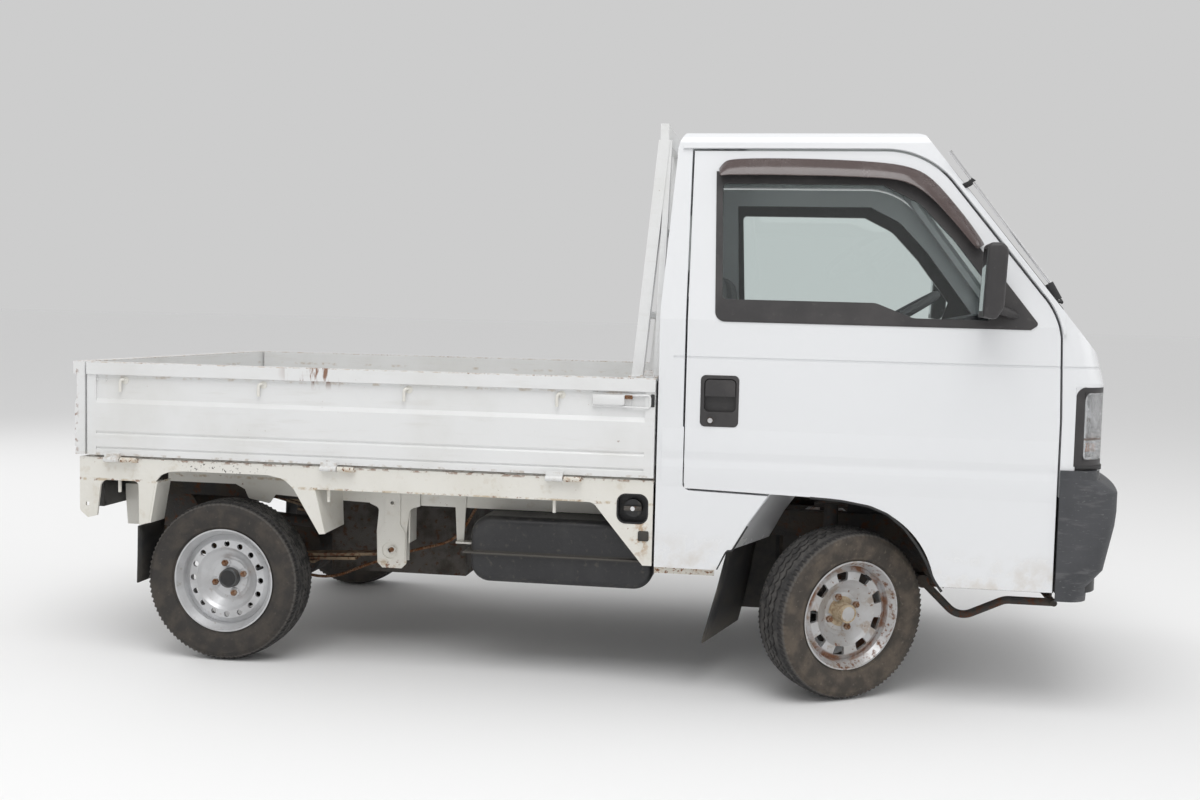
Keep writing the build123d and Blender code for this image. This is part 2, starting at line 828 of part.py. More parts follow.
# Rails: level under the bed, then a step down under the cab
rail_points = (
    (-1572, 482),
    (-1572, DECK_BEARER_Z),
    (150, DECK_BEARER_Z),
    (330, 520),
    (980, 520),
    (1100, 380),
    (1455, 380),
    (1455, 300),
    (1060, 300),
    (940, 440),
    (300, 440),
    (120, 482),
)
RAIL_SKIN = 5
with BuildPart() as right_rail:
    with BuildSketch(Plane.XZ.offset(RAIL_INNER_Y)):
        add(side_face(rail_points))
    extrude(amount=RAIL_OUTER_Y - RAIL_INNER_Y)
    with BuildSketch(Plane.XZ.offset(RAIL_INNER_Y)) as channel:
        add(side_face(rail_points))
        offset(amount=-RAIL_SKIN, kind=Kind.INTERSECTION)
    extrude(amount=RAIL_OUTER_Y - RAIL_INNER_Y - RAIL_SKIN, mode=Mode.SUBTRACT)
with BuildPart() as frame_rails:
    add(right_rail.part)
    mirror(right_rail.part, about=Plane.XZ)
save(frame_rails.part, "frame_rails")

CROSSMEMBERS = (  # middle X, low Z, high Z, length along X
    (-1545, 512, 584, 44),
    (-1010, 524, 584, 40),
    (-420, 512, 572, 44),
    (215, 470, 530, 44),
    (600, 452, 508, 44),
    (1400, 312, 368, 44),
)
with BuildPart() as crossmembers:
    for x, low, high, length in CROSSMEMBERS:
        reach = RAIL_INNER_Y
        add(block(x - length / 2, x + length / 2, -reach, reach, low, high))
save(crossmembers.part, "crossmembers")


# Bed

# Deck: a ribbed steel floor on bearers that lie across the rails
DECK_HALF_WIDTH = 650
DECK_REAR_X = -1570
DECK_FRONT_X = 238
RIB_FRONT_X = 160
RIB_PITCH = 118
RIB_COUNT = 10
with BuildPart() as bed_deck:
    with BuildSketch(Plane.YZ.offset(DECK_REAR_X)):
        with Locations((0, DECK_TOP_Z - DECK_THICKNESS / 2)):
            Rectangle(2 * DECK_HALF_WIDTH, DECK_THICKNESS)
    extrude(amount=DECK_FRONT_X - DECK_REAR_X)
    with BuildSketch(Plane.YZ.offset(DECK_REAR_X)):
        with Locations((0, DECK_TOP_Z)):
            with GridLocations(RIB_PITCH, 0, RIB_COUNT, 1):
                Trapezoid(70, 6, 60, align=(Align.CENTER, Align.MIN))
    extrude(amount=RIB_FRONT_X - DECK_REAR_X)
save(bed_deck.part, "bed_deck")

BEARERS_X = (-1500, -1390, -880, -600, -300, 20, 190)
STRIP_Y = 500
strip_points = (  # the edge strip under the bearers, with the bump stop's bracket over the axle
    (-1400, DECK_BEARER_Z),
    (215, DECK_BEARER_Z),
    (215, 502),
    (-533, 502),
    (-533, 541),
    (-700, 541),
    (-700, 504),
    (-950, 512),
    (-1025, 516),
    (-1045, 486),
    (-1118, 500),
    (-1131, 529),
    (-1163, 545),
    (-1400, 545),
)
strip_rounds = ((8, 6), (9, 8), (10, 8))
TANK_SEAM_TOP_Z = 389
tank_strap_points = (  # hangs the tank's rear seam from the edge strip
    (-421, DECK_BEARER_Z),
    (-380, DECK_BEARER_Z),
    (-380, 532),
    (-387, TANK_SEAM_TOP_Z),
    (-409, TANK_SEAM_TOP_Z),
)
with BuildPart() as deck_bearers:
    for x in BEARERS_X:
        low = DECK_BEARER_Z
        add(block(x - 25, x + 25, -638, 638, low, DECK_TOP_Z - DECK_THICKNESS))
    for low_y, high_y in ((-STRIP_Y - 3, -STRIP_Y), (STRIP_Y, STRIP_Y + 3)):
        add(side_prism(side_face(strip_points, strip_rounds), low_y, high_y))
    add(side_prism(side_face(tank_strap_points), -STRIP_Y - 8, -STRIP_Y - 3))
    strap_foot_y = -STRIP_Y - 24
    add(block(-409, -340, strap_foot_y, strap_foot_y + 34, TANK_SEAM_TOP_Z, TANK_SEAM_TOP_Z + 6))
save(deck_bearers.part, "deck_bearers")

# Side beams: a pressed channel, with the skirts, arch ends and front corner cut in its face
BEAM_REAR_X = -1606
LEG_TOP_X = -817
skirt_points = (
    (BEAM_REAR_X, BEAM_TOP_Z),
    (BED_FRONT_X, BEAM_TOP_Z),
    (BED_FRONT_X, 382),
    (212, 382),
    (58, BEAM_BOTTOM_Z),
    (LEG_TOP_X, BEAM_BOTTOM_Z),
    (-783, 428),
    (-802, 426),
    (-888, BEAM_BOTTOM_Z),
    (-921, 594),
    (-974, 604),
    (-1247, 604),
    (-1297, 601),
    (-1328, 590),
    (-1348, BEAM_BOTTOM_Z),
    (-1371, 434),
    (-1402, 426),
    (-1405, BEAM_BOTTOM_Z),
    (-1533, BEAM_BOTTOM_Z),
    (-1547, 451),
    (-1578, 443),
    (BEAM_REAR_X, 465),
)
skirt_rounds = ((4, 30), (9, 40), (10, 40), (12, 40), (13, 30), (14, 20), (17, 16), (18, 24), (21, 16))
SKIRT_SKIN = 8
BEAM_INNER_Y = 650
SKIRT_HOLE = (-1580, 487)
LEG_RETURNS = (  # distance out, (x, z) corners: the front leg's side runs in to the edge strip
    (BEAM_FACE_Y - 1, ((-817, 567), (-822, 567), (-788, 429), (-783, 429))),
    (STRIP_Y + 3, ((-796, 567), (-801, 567), (-795, 429), (-790, 429))),
)
rear_return_points = ((-1348, 567), (-1341, 567), (-1364, 435), (-1371, 435))
REAR_RETURN = 90
FILLER_CENTRE = (178, 551)
with BuildPart() as right_beam:
    with BuildSketch(Plane.XZ.offset(BEAM_FACE_Y - SKIRT_SKIN)):
        add(side_face(skirt_points, skirt_rounds))
    extrude(amount=SKIRT_SKIN)
    with BuildSketch(Plane.XZ.offset(BEAM_INNER_Y)):
        with Locations(((BEAM_REAR_X + BED_FRONT_X) / 2, BEAM_TOP_Z - 4)):
            Rectangle(BED_FRONT_X - BEAM_REAR_X, 8)
        with Locations(((58 + LEG_TOP_X) / 2, BEAM_BOTTOM_Z + 4)):
            Rectangle(58 - LEG_TOP_X, 8)
    extrude(amount=BEAM_FACE_Y - BEAM_INNER_Y - SKIRT_SKIN)
    for y, corners in LEG_RETURNS:
        with BuildSketch(Plane.XZ.offset(y)):
            add(side_face(corners))
    loft(ruled=True)
    add(side_prism(side_face(rear_return_points), -BEAM_FACE_Y + 1, -BEAM_FACE_Y + REAR_RETURN))
    with BuildSketch(Plane.XZ.offset(BEAM_FACE_Y - SKIRT_SKIN)):
        with Locations(SKIRT_HOLE):
            Rectangle(12, 12)
    extrude(amount=SKIRT_SKIN, mode=Mode.SUBTRACT)
left_beam = mirrored(right_beam.part)
with BuildPart() as filler_cut:
    with BuildSketch(Plane.XZ.offset(600)):
        with Locations(FILLER_CENTRE):
            RectangleRounded(96, 92, 28)
    extrude(amount=120)
with BuildPart() as side_beams:
    add(cut(right_beam.part, filler_cut.part))
    add(left_beam)
save(side_beams.part, "side_beams")

with BuildPart() as rear_beam:
    with BuildSketch(Plane.YZ.offset(BEAM_REAR_X)):
        with Locations((0, (BEAM_TOP_Z + BEAM_BOTTOM_Z) / 2)):
            Rectangle(1298, BEAM_TOP_Z - BEAM_BOTTOM_Z)
    extrude(amount=8)
    with BuildSketch(Plane.YZ.offset(BEAM_REAR_X + 8)):
        with Locations((0, BEAM_TOP_Z - 4), (0, BEAM_BOTTOM_Z + 4)):
            Rectangle(1298, 8)
    extrude(amount=24)
save(rear_beam.part, "rear_beam")

# Filler: a cup behind the opening in the right skirt, and its cap
with BuildPart() as fuel_filler:
    with BuildSketch(Plane.XZ.offset(640)):
        with Locations(FILLER_CENTRE):
            RectangleRounded(95, 91, 27)
    extrude(amount=46)
    with BuildSketch(Plane.XZ.offset(648)):
        with Locations(FILLER_CENTRE):
            RectangleRounded(87, 83, 23)
    extrude(amount=60, mode=Mode.SUBTRACT)
    with BuildSketch(Plane.XZ.offset(644)):
        with Locations(FILLER_CENTRE):
            Circle(27)
    extrude(amount=26)
save(fuel_filler.part, "fuel_filler")

# Gates, drawn as seen from the rear: distance from the middle, height
gate_section = (
    (668, GATE_BOTTOM_Z),
    (696, GATE_BOTTOM_Z),
    (696, 664),
    (692, 669),
    (697.5, 674),
    (697.5, 711),
    (693, 717),
    (697.5, 724),
    (697.5, 812),
    (691, 826),
    (691, 901),
    (703, 903),
    (703, GATE_TOP_Z),
    (668, GATE_TOP_Z),
)
GATE_HINGES_X = (-1459, -740, -31)
KNUCKLE_R = 8
KNUCKLE_LENGTH = 52


def knuckle(centre, along, length, radius):
    half = Vector(*along) * (length / 2)
    return bar(Vector(*centre) - half, Vector(*centre) + half, radius)


with BuildPart() as right_gate:
    with BuildSketch(Plane.YZ.offset(GATE_REAR_X)):
        with BuildLine():
            Polyline(*((-y, z) for y, z in gate_section), close=True)
        make_face()
    extrude(amount=BED_FRONT_X - GATE_REAR_X)
    for end_x in (GATE_REAR_X, BED_FRONT_X - 30):
        add(block(end_x, end_x + 30, -697.5, -668, GATE_BOTTOM_Z, 902))
    for x in GATE_HINGES_X:
        centre = (x - 28, -GATE_PIN_Y, GATE_PIN_Z)
        add(knuckle(centre, (1, 0, 0), KNUCKLE_LENGTH, KNUCKLE_R))
        add(block(x - 54, x - 2, -706, -693, GATE_PIN_Z, GATE_BOTTOM_Z + 10))
save(right_gate.part, "right_gate")
save(mirrored(right_gate.part), "left_gate")

with BuildPart() as tailgate:
    with BuildSketch(Plane.XZ.offset(-697.5)):
        with BuildLine():
            Polyline(
                *((TAILGATE_FACE_X + (697.5 - y), z) for y, z in gate_section if y > 670),
                (TAILGATE_FACE_X + TAILGATE_THICKNESS, GATE_TOP_Z),
                (TAILGATE_FACE_X + TAILGATE_THICKNESS, GATE_BOTTOM_Z),
                close=True,
            )
        make_face()
    extrude(amount=1395)
    for y in (-520, 0, 520):
        add(knuckle((TAILGATE_PIN_X, y - 28, GATE_PIN_Z), (0, 1, 0), KNUCKLE_LENGTH, 7))
        add(
            block(
                TAILGATE_PIN_X,
                TAILGATE_FACE_X + 6,
                y - 54,
                y - 2,
                GATE_PIN_Z,
                GATE_BOTTOM_Z + 10,
            )
        )
save(tailgate.part, "tailgate")

# Fixed halves of the hinges, on the beams
with BuildPart() as gate_hinges:
    for x in GATE_HINGES_X:
        for side in (-1, 1):
            centre = (x + 28, side * GATE_PIN_Y, GATE_PIN_Z)
            add(knuckle(centre, (1, 0, 0), KNUCKLE_LENGTH, KNUCKLE_R))
            low, high = sorted((side * BEAM_FACE_Y, side * GATE_PIN_Y))
            add(block(x + 2, x + 54, low, high, GATE_PIN_Z - 8, GATE_PIN_Z))
    for y in (-520, 0, 520):
        add(knuckle((TAILGATE_PIN_X, y + 28, GATE_PIN_Z), (0, 1, 0), KNUCKLE_LENGTH, 7))
        add(block(TAILGATE_PIN_X, BEAM_REAR_X, y + 2, y + 54, GATE_PIN_Z - 7, GATE_PIN_Z))
save(gate_hinges.part, "gate_hinges")

# Headboard and guard frame behind the cab
POST_Y = 600
POST_WIDTH = 34
POST_LEAN_X = 64
LEAN_TOP_Z = 1640
HEADBOARD_TOP_Z = 946
FLANGE_LOW_Z = 934
POST_REAR_X = 156
POST_TOP_Z = 1652
GUARD_TOP_LOW_Z = 1645
GUARD_TOP_HIGH_Z = 1700
GUARD_TOP_REAR_X = 226
GUARD_TOP_FRONT_X = 251
STRIP_REAR_X = 221
with BuildPart() as headboard:
    add(block(182, 212, -648, 648, DECK_TOP_Z, FLANGE_LOW_Z))
    add(block(150, 239, -648, 648, FLANGE_LOW_Z, HEADBOARD_TOP_Z))
save(headboard.part, "headboard")


def post_shift(z):
    """How far forward the posts have leaned at a height."""
    return POST_LEAN_X * (z - HEADBOARD_TOP_Z) / (LEAN_TOP_Z - HEADBOARD_TOP_Z)


def upright(rear_x, width, lean=1):
    """Side view of an upright on the headboard; lean 1 is parallel to the posts."""
    top_z = POST_TOP_Z
    shift = post_shift(top_z) * lean
    return side_face(
        (
            (rear_x, HEADBOARD_TOP_Z),
            (rear_x + width, HEADBOARD_TOP_Z),
            (rear_x + width + shift, top_z),
            (rear_x + shift, top_z),
        )
    )


GUARD_BARS = (1130, 1400)
GUARD_BAR_R = 12
INNER_UPRIGHT_Y = 230
with BuildPart() as guard_frame:
    for middle in (-POST_Y, POST_Y):
        add(side_prism(upright(POST_REAR_X, POST_WIDTH), middle - 20, middle + 20))
        add(side_prism(upright(STRIP_REAR_X, 18, 0.33), middle - 16, middle + 16))
    add(
        block(
            GUARD_TOP_REAR_X,
            GUARD_TOP_FRONT_X,
            -POST_Y - 20,
            POST_Y + 20,
            GUARD_TOP_LOW_Z,
            GUARD_TOP_HIGH_Z,
        )
    )
    for z in GUARD_BARS:
        x = POST_REAR_X + post_shift(z) + POST_WIDTH / 2
        add(bar((x, -POST_Y, z), (x, POST_Y, z), GUARD_BAR_R))
    for y in (-INNER_UPRIGHT_Y, INNER_UPRIGHT_Y):
        add(side_prism(upright(POST_REAR_X + 7, 20), y - 10, y + 10))
save(guard_frame.part, "guard_frame")

# Tail lamps, hung under the rear beam
with BuildPart() as tail_lamps:
    for middle in (-515, 515):
        add(block(-1604, -1560, middle - 110, middle + 110, 470, BEAM_BOTTOM_Z))
    edges = tail_lamps.faces().sort_by(Axis.X)[:2].edges()
    fillet(edges, 10)
save(tail_lamps.part, "tail_lamps")


# Under the bed

# Fuel tank: two pressed halves with a seam flange
TANK_LEFT_Y = -385
TANK_RIGHT_Y = -640
TANK_SEAM = 5
with BuildPart() as fuel_tank:
    with BuildSketch(Plane.XZ.offset(-TANK_LEFT_Y)):
        with Locations(((-333 + 238) / 2, (295 + 500) / 2)):
            RectangleRounded(571, 205, 62)
    extrude(amount=TANK_LEFT_Y - TANK_RIGHT_Y)
    fillet(fuel_tank.faces().sort_by(Axis.Y)[0].edges(), 24)
    seam_low_z = TANK_SEAM_TOP_Z - TANK_SEAM
    add(block(-352, 243, TANK_RIGHT_Y - 12, TANK_LEFT_Y + 8, seam_low_z, TANK_SEAM_TOP_Z))
save(fuel_tank.part, "fuel_tank")

# Engine: one block at its real place, lying between the rails ahead of the rear axle
save(block(-930, -450, -235, 235, 225, 505), "engine")

# Exhaust: a pipe back over the axle to a silencer across the rear
with BuildPart() as exhaust:
    add(bar((-1470, -292, 412), (-1470, 238, 412), 74))
    add(bar((-935, -150, 350), (-1040, -150, 372), 20))
    add(bar((-1040, -150, 372), (-1410, -150, 400), 20))
    add(bar((-1490, -260, 400), (-1585, -260, 380), 20))
save(exhaust.part, "exhaust")

# Rear axle: tube, gear case and brake back plates
SPRING_Y = 470
with BuildPart() as rear_axle:
    add(bar((REAR_AXLE_X, -535, AXLE_Z), (REAR_AXLE_X, 535, AXLE_Z), 32))
    add(bar((REAR_AXLE_X, -80, AXLE_Z), (REAR_AXLE_X, 80, AXLE_Z), 105))
    for side in (-1, 1):
        add(
            bar(
                (REAR_AXLE_X, side * 535, AXLE_Z),
                (REAR_AXLE_X, side * 541, AXLE_Z),
                112,
            )
        )
save(rear_axle.part, "rear_axle")

# Leaf springs, clamped on the axle, with a hanger in front and a shackle behind
LEAVES = (  # length from the axle forward, rise of that end, length back, rise of that end
    (503, 26, 390, 90),
    (380, 14, 300, 60),
    (240, 5, 200, 24),
)
LEAF = 9
LEAF_WIDTH = 54
LEAF_SEAT = 45
SPRING_PAD = 34
EYE_R = 20
MAIN_LEAF_Z = AXLE_Z + SPRING_PAD + LEAF * (len(LEAVES) - 1)
EYE_Z = MAIN_LEAF_Z + LEAVES[0][1] + EYE_R
REAR_EYE_Z = MAIN_LEAF_Z + LEAVES[0][3] + EYE_R
FRONT_EYE_X = REAR_AXLE_X + LEAVES[0][0]
REAR_EYE_X = REAR_AXLE_X - LEAVES[0][2]
with BuildPart() as leaf_springs:
    for side in (-1, 1):
        for level, (forward, front_rise, back, rear_rise) in enumerate(LEAVES):
            z = MAIN_LEAF_Z - LEAF * level
            leaf_points = (
                (REAR_AXLE_X - back, z + rear_rise),
                (REAR_AXLE_X - LEAF_SEAT, z),
                (REAR_AXLE_X + LEAF_SEAT, z),
                (REAR_AXLE_X + forward, z + front_rise),
                (REAR_AXLE_X + forward, z + front_rise + LEAF),
                (REAR_AXLE_X + LEAF_SEAT, z + LEAF),
                (REAR_AXLE_X - LEAF_SEAT, z + LEAF),
                (REAR_AXLE_X - back, z + rear_rise + LEAF),
            )
            middle = side * SPRING_Y
            leaf = side_prism(side_face(leaf_points), middle - LEAF_WIDTH / 2, middle + LEAF_WIDTH / 2)
            add(leaf)
        for x, z in ((FRONT_EYE_X, EYE_Z), (REAR_EYE_X, REAR_EYE_Z)):
            add(knuckle((x, side * SPRING_Y, z), (0, 1, 0), LEAF_WIDTH, EYE_R))
save(leaf_springs.part, "leaf_springs")

# Each front hanger is a pressed plate with a wide rib and a cup round the bolt, and a plate inside it
hanger_points = (
    (-700, 540),
    (-533, 540),
    (-533, 500),
    (-566, 490),
    (-576, 414),
    (-576, 312),
    (-592, 296),
    (-656, 296),
    (-673, 312),
    (-676, 414),
    (-669, 490),
    (-700, 503),
)
hanger_rounds = ((3, 18), (10, 14), (5, 10), (8, 10))
rib_points = (
    (-648, 540),
    (-597, 540),
    (-597, 440),
    (-580, 412),
    (-580, 318),
    (-671, 318),
    (-671, 412),
    (-648, 440),
)
rib_rounds = ((2, 16), (3, 16), (6, 16), (7, 16), (4, 14), (5, 14))
inner_hanger_points = ((-690, 570), (-545, 570), (-588, 400), (-588, 310), (-664, 310), (-664, 400))
shackle_points = (
    (REAR_EYE_X - 28, 500),
    (REAR_EYE_X + 27, 500),
    (REAR_EYE_X + 20, REAR_EYE_Z - 22),
    (REAR_EYE_X - 20, REAR_EYE_Z - 22),
)
PLATE_Y = 505
PLATE = 5
RIB_PROUD = 4
CUP_R = 27
BOLT_R = 8
hanger_plane = Plane.XZ.offset(PLATE_Y + PLATE)
with BuildPart() as right_hanger:
    add(side_prism(side_face(hanger_points, hanger_rounds), -PLATE_Y - PLATE, -PLATE_Y))
    add(side_prism(side_face(rib_points, rib_rounds), -PLATE_Y - PLATE - RIB_PROUD, -PLATE_Y - PLATE))
    with BuildSketch(hanger_plane):
        with Locations((FRONT_EYE_X, EYE_Z)):
            Circle(CUP_R)
    extrude(amount=RIB_PROUD, mode=Mode.SUBTRACT)
    with BuildSketch(hanger_plane.offset(-PLATE)):
        with Locations((-624, 508)):
            Circle(6)
    extrude(amount=PLATE + RIB_PROUD, mode=Mode.SUBTRACT)
    with BuildSketch(hanger_plane):
        with Locations((FRONT_EYE_X, EYE_Z)):
            RegularPolygon(BOLT_R, 6)
    extrude(amount=RIB_PROUD + 3)
    add(block(-571, -566, -PLATE_Y, -SPRING_Y + 34, 380, 540))
    add(side_prism(side_face(inner_hanger_points), -SPRING_Y + 29, -SPRING_Y + 34))
    add(block(-690, -545, -SPRING_Y + 34, -RAIL_OUTER_Y, 540, 570))
    for y in (-SPRING_Y - 33, -SPRING_Y + 33):
        add(side_prism(side_face(shackle_points), y - 3, y + 3))
    add(block(REAR_EYE_X - 28, REAR_EYE_X + 27, -SPRING_Y - 36, -RAIL_OUTER_Y, 500, 530))
with BuildPart() as spring_hangers:
    add(right_hanger.part)
    mirror(right_hanger.part, about=Plane.XZ)
save(spring_hangers.part, "spring_hangers")


# Front suspension: lower arms, struts that turn with the knuckles, and a stabiliser bar

def kingpin_point(side, z):
    share = (z - KINGPIN_Z) / (STRUT_TOP_Z - KINGPIN_Z)
    y = KINGPIN_Y + share * (STRUT_TOP_Y - KINGPIN_Y)
    return Vector(FRONT_AXLE_X, side * y, z)


def kingpin_dir(side):
    return (kingpin_point(side, STRUT_TOP_Z) - kingpin_point(side, KINGPIN_Z)).normalized()


def steered_point(side, point):
    """Where a point of the straight-ahead wheel goes at the rest steering angle."""
    base = kingpin_point(side, KINGPIN_Z)
    axis = Axis((0, 0, 0), kingpin_dir(side))
    return base + (Vector(*point) - base).rotate(axis, REST_STEER_DEG)


def steered_dir(side, direction):
    axis = Axis((0, 0, 0), kingpin_dir(side))
    return Vector(*direction).rotate(axis, REST_STEER_DEG)


ARM_Z = KINGPIN_Z - 26
with BuildPart() as right_arm:
    with BuildSketch(Plane.XY.offset(ARM_Z)) as arm:
        with BuildLine():
            Polyline(
                (FRONT_AXLE_X - 28, -KINGPIN_Y),
                (FRONT_AXLE_X - 34, -500),
                (FRONT_AXLE_X - 150, -375),
                (FRONT_AXLE_X - 100, -345),
                (FRONT_AXLE_X, -430),
                (FRONT_AXLE_X + 130, -345),
                (FRONT_AXLE_X + 180, -375),
                (FRONT_AXLE_X + 34, -500),
                (FRONT_AXLE_X + 28, -KINGPIN_Y),
                close=True,
            )
        make_face()
        with Locations((FRONT_AXLE_X, -KINGPIN_Y)):
            Circle(28)
    extrude(amount=16)
    for x in (FRONT_AXLE_X - 120, FRONT_AXLE_X + 150):
        add(block(x - 25, x + 25, -365, -330, ARM_Z, 300 if x > FRONT_AXLE_X else 440))
with BuildPart() as front_arms:
    add(right_arm.part)
    mirror(right_arm.part, about=Plane.XZ)
save(front_arms.part, "front_arms")

# Stabiliser bar: a curved arm on each side, joined across the front under the rails
STABILISER_Y = 430
STABILISER_R = 12
CROSS_BAR_R = 10
STABILISER_FRONT = (1448, 286)
stabiliser_arm = (
    (1052, 332),
    (1165, 222),
    (1300, 286),
    STABILISER_FRONT,
)
with BuildPart() as right_stabiliser:
    with BuildLine() as arm_path:
        FilletPolyline(*((x, -STABILISER_Y, z) for x, z in stabiliser_arm), radius=60)
    with BuildSketch(Plane(origin=arm_path.line @ 0, z_dir=arm_path.line % 0)):
        Circle(STABILISER_R)
    sweep()
    add(knuckle((1052, -STABILISER_Y, 332), (0, 1, 0), 34, 20))
    add(block(1040, 1064, -STABILISER_Y + 17, -RAIL_OUTER_Y, 320, 344))
    add(block(1430, 1454, -345, -325, STABILISER_FRONT[1], 300))
with BuildPart() as stabiliser_bar:
    add(right_stabiliser.part)
    mirror(right_stabiliser.part, about=Plane.XZ)
    front_x, front_z = STABILISER_FRONT
    reach = STABILISER_Y + STABILISER_R + 4
    add(bar((front_x - 6, -reach, front_z), (front_x - 6, reach, front_z), CROSS_BAR_R))
save(stabiliser_bar.part, "stabiliser_bar")

STRUT_TOP = 676
HUB_BACK = 26
for side, name in ((-1, "right_knuckle"), (1, "left_knuckle")):
    hub_y = side * (HALF_TRACK - HUB_BACK - 1)
    with BuildPart() as knuckle_part:
        add(bar(kingpin_point(side, KINGPIN_Z), kingpin_point(side, 350), 20))
        add(bar(kingpin_point(side, 330), kingpin_point(side, 560), 22))
        add(bar(kingpin_point(side, 556), kingpin_point(side, 562), 52))
        add(bar(kingpin_point(side, 562), kingpin_point(side, STRUT_TOP), 12))
        for turn in range(5):
            z = 570 + turn * 20
            add(bar(kingpin_point(side, z), kingpin_point(side, z + 9), 42))
        inner = steered_point(side, (FRONT_AXLE_X, side * 510, FRONT_AXLE_Z))
        outer = steered_point(side, (FRONT_AXLE_X, hub_y, FRONT_AXLE_Z))
        add(bar(inner, outer, 38))
        arm_start = steered_point(side, (FRONT_AXLE_X, side * 530, 215))
        arm_end = steered_point(side, (FRONT_AXLE_X - 118, side * 505, 215))
        add(bar(arm_start, arm_end, 12))
    save(knuckle_part.part, name)

RACK_X = FRONT_AXLE_X - 150
with BuildPart() as steering_rack:
    add(bar((RACK_X, -300, 225), (RACK_X, 300, 225), 22))
save(steering_rack.part, "steering_rack")


# Wheels

def wheel_plane_at(side, front):
    """Origin at the wheel's middle, local X outboard; a front wheel is at its rest angle."""
    if not front:
        centre = (REAR_AXLE_X, side * HALF_TRACK, AXLE_Z)
        return Plane(origin=centre, x_dir=(0, side, 0), z_dir=(1, 0, 0))
    centre = steered_point(side, (FRONT_AXLE_X, side * HALF_TRACK, FRONT_AXLE_Z))
    outboard = steered_dir(side, (0, side, 0))
    ahead = steered_dir(side, (1, 0, 0))
    return Plane(origin=centre, x_dir=outboard, z_dir=ahead)


# Tyres have flat facets, with one flat on the ground
TYRE_SIDES = 36
TYRE_INNER_R = 160
tyre_outside = (  # distance from the middle, radius, from tread to sidewall
    (46, TYRE_R),
    (62, 250),
    (70, 238),
    (72.5, 216),
)
tyre_recess = (  # the same, from sidewall to bead
    (72.5, 216),
    (71, 200),
    (62, 178),
    (52, 166),
    (50, TYRE_INNER_R),
)


def ring_stack(plane, rows):
    """A solid of many-sided rings along the wheel's axle, from (distance, radius) rows."""
    with BuildPart() as stack:
        for distance, radius in rows:
            across = Plane(
                origin=plane.origin + plane.x_dir * distance,
                x_dir=plane.z_dir,
                z_dir=plane.x_dir,
            )
            with BuildSketch(across):
                RegularPolygon(radius, TYRE_SIDES, major_radius=False, rotation=180 / TYRE_SIDES)
        loft(ruled=True)
    return stack.part


def make_tyre(plane):
    inboard = [(-x, r) for x, r in reversed(tyre_outside)]
    return cut(
        ring_stack(plane, inboard + list(tyre_outside)),
        ring_stack(plane, tyre_recess),
        ring_stack(plane, [(-x, r) for x, r in tyre_recess]),
        ring_stack(plane, ((-60, TYRE_INNER_R), (60, TYRE_INNER_R))),
    )


barrel_section = (  # distance outboard of the middle, radius
    (57, 165),
    (50, 159.5),
    (30, 148),
    (-30, 148),
    (-50, 159.5),
    (-57, 165),
    (-57, 160),
    (-32, 143),
)
disc_back = (
    (8, 143),
    (20, 126),
    (20, 102),
    (10, 90),
    (-9, 66),
    (-9, 56),
    (-HUB_BACK, 40),
    (-HUB_BACK, 0),
)
disc_front = (
    (3, 58),
    (8, 70),
    (22, 92),
    (30, 102),
    (30, 126),
    (20, 143),
    (36, 146),
    (57, 160),
)
HUB_CAPS = {  # length outboard of the middle, radius
    "front": (40, 27),
    "rear": (18, 23),
}
WINDOW_R = 114
REAR_HOLES = 16
REAR_HOLE_R = 9.2
FRONT_WINDOWS = 9
FRONT_WINDOW_WIDTH = 42
FRONT_WINDOW_HEIGHT = 27
FRONT_WINDOW_ANGLE = 78
FRONT_WINDOW_ROUND = 5
FACE_X = 3


def make_rim(plane, row):
    cap_length, cap_radius = HUB_CAPS[row]
    cap = (
        (cap_length, 0),
        (cap_length, cap_radius - 5),
        (cap_length - 6, cap_radius),
        (FACE_X, cap_radius + 2),
    )
    with BuildPart() as rim:
        with BuildSketch(plane):
            with BuildLine():
                Polyline(*barrel_section, *disc_back, *cap, *disc_front, close=True)
            make_face()
        revolve(axis=Axis(plane.origin, plane.x_dir))
        with BuildSketch(Plane(origin=plane.origin, x_dir=plane.y_dir, z_dir=plane.x_dir)) as holes:
            if row == "rear":
                with PolarLocations(WINDOW_R, REAR_HOLES):
                    Circle(REAR_HOLE_R)
            else:
                with PolarLocations(WINDOW_R, FRONT_WINDOWS):
                    Trapezoid(
                        FRONT_WINDOW_WIDTH,
                        FRONT_WINDOW_HEIGHT,
                        FRONT_WINDOW_ANGLE,
                        rotation=90,
                    )
                fillet(holes.vertices(), FRONT_WINDOW_ROUND)
        extrude(amount=60, mode=Mode.SUBTRACT)
    return rim.part


for front, end_name in ((True, "front"), (False, "rear")):
    for side, side_name in ((-1, "right"), (1, "left")):
        plane = wheel_plane_at(side, front)
        save(make_tyre(plane), f"{end_name}_{side_name}_tyre")
        save(make_rim(plane, end_name), f"{end_name}_{side_name}_rim")

# Spare wheel, carried flat under the bed on the left
SPARE_CENTRE = (-110, 380, 395)
SPARE_BARREL_R = 150
spare_plane = Plane(origin=SPARE_CENTRE, x_dir=(0, 0, -1), z_dir=(1, 0, 0))
with BuildPart() as spare_wheel:
    add(make_tyre(spare_plane))
    add(ring_stack(spare_plane, ((-48, TYRE_INNER_R), (48, TYRE_INNER_R))))
    add(
        ring_stack(spare_plane, ((-48, SPARE_BARREL_R), (12, SPARE_BARREL_R - 8))),
        mode=Mode.SUBTRACT,
    )
    add(
        ring_stack(spare_plane, ((22, SPARE_BARREL_R - 8), (48, SPARE_BARREL_R))),
        mode=Mode.SUBTRACT,
    )
save(spare_wheel.part, "spare_wheel")

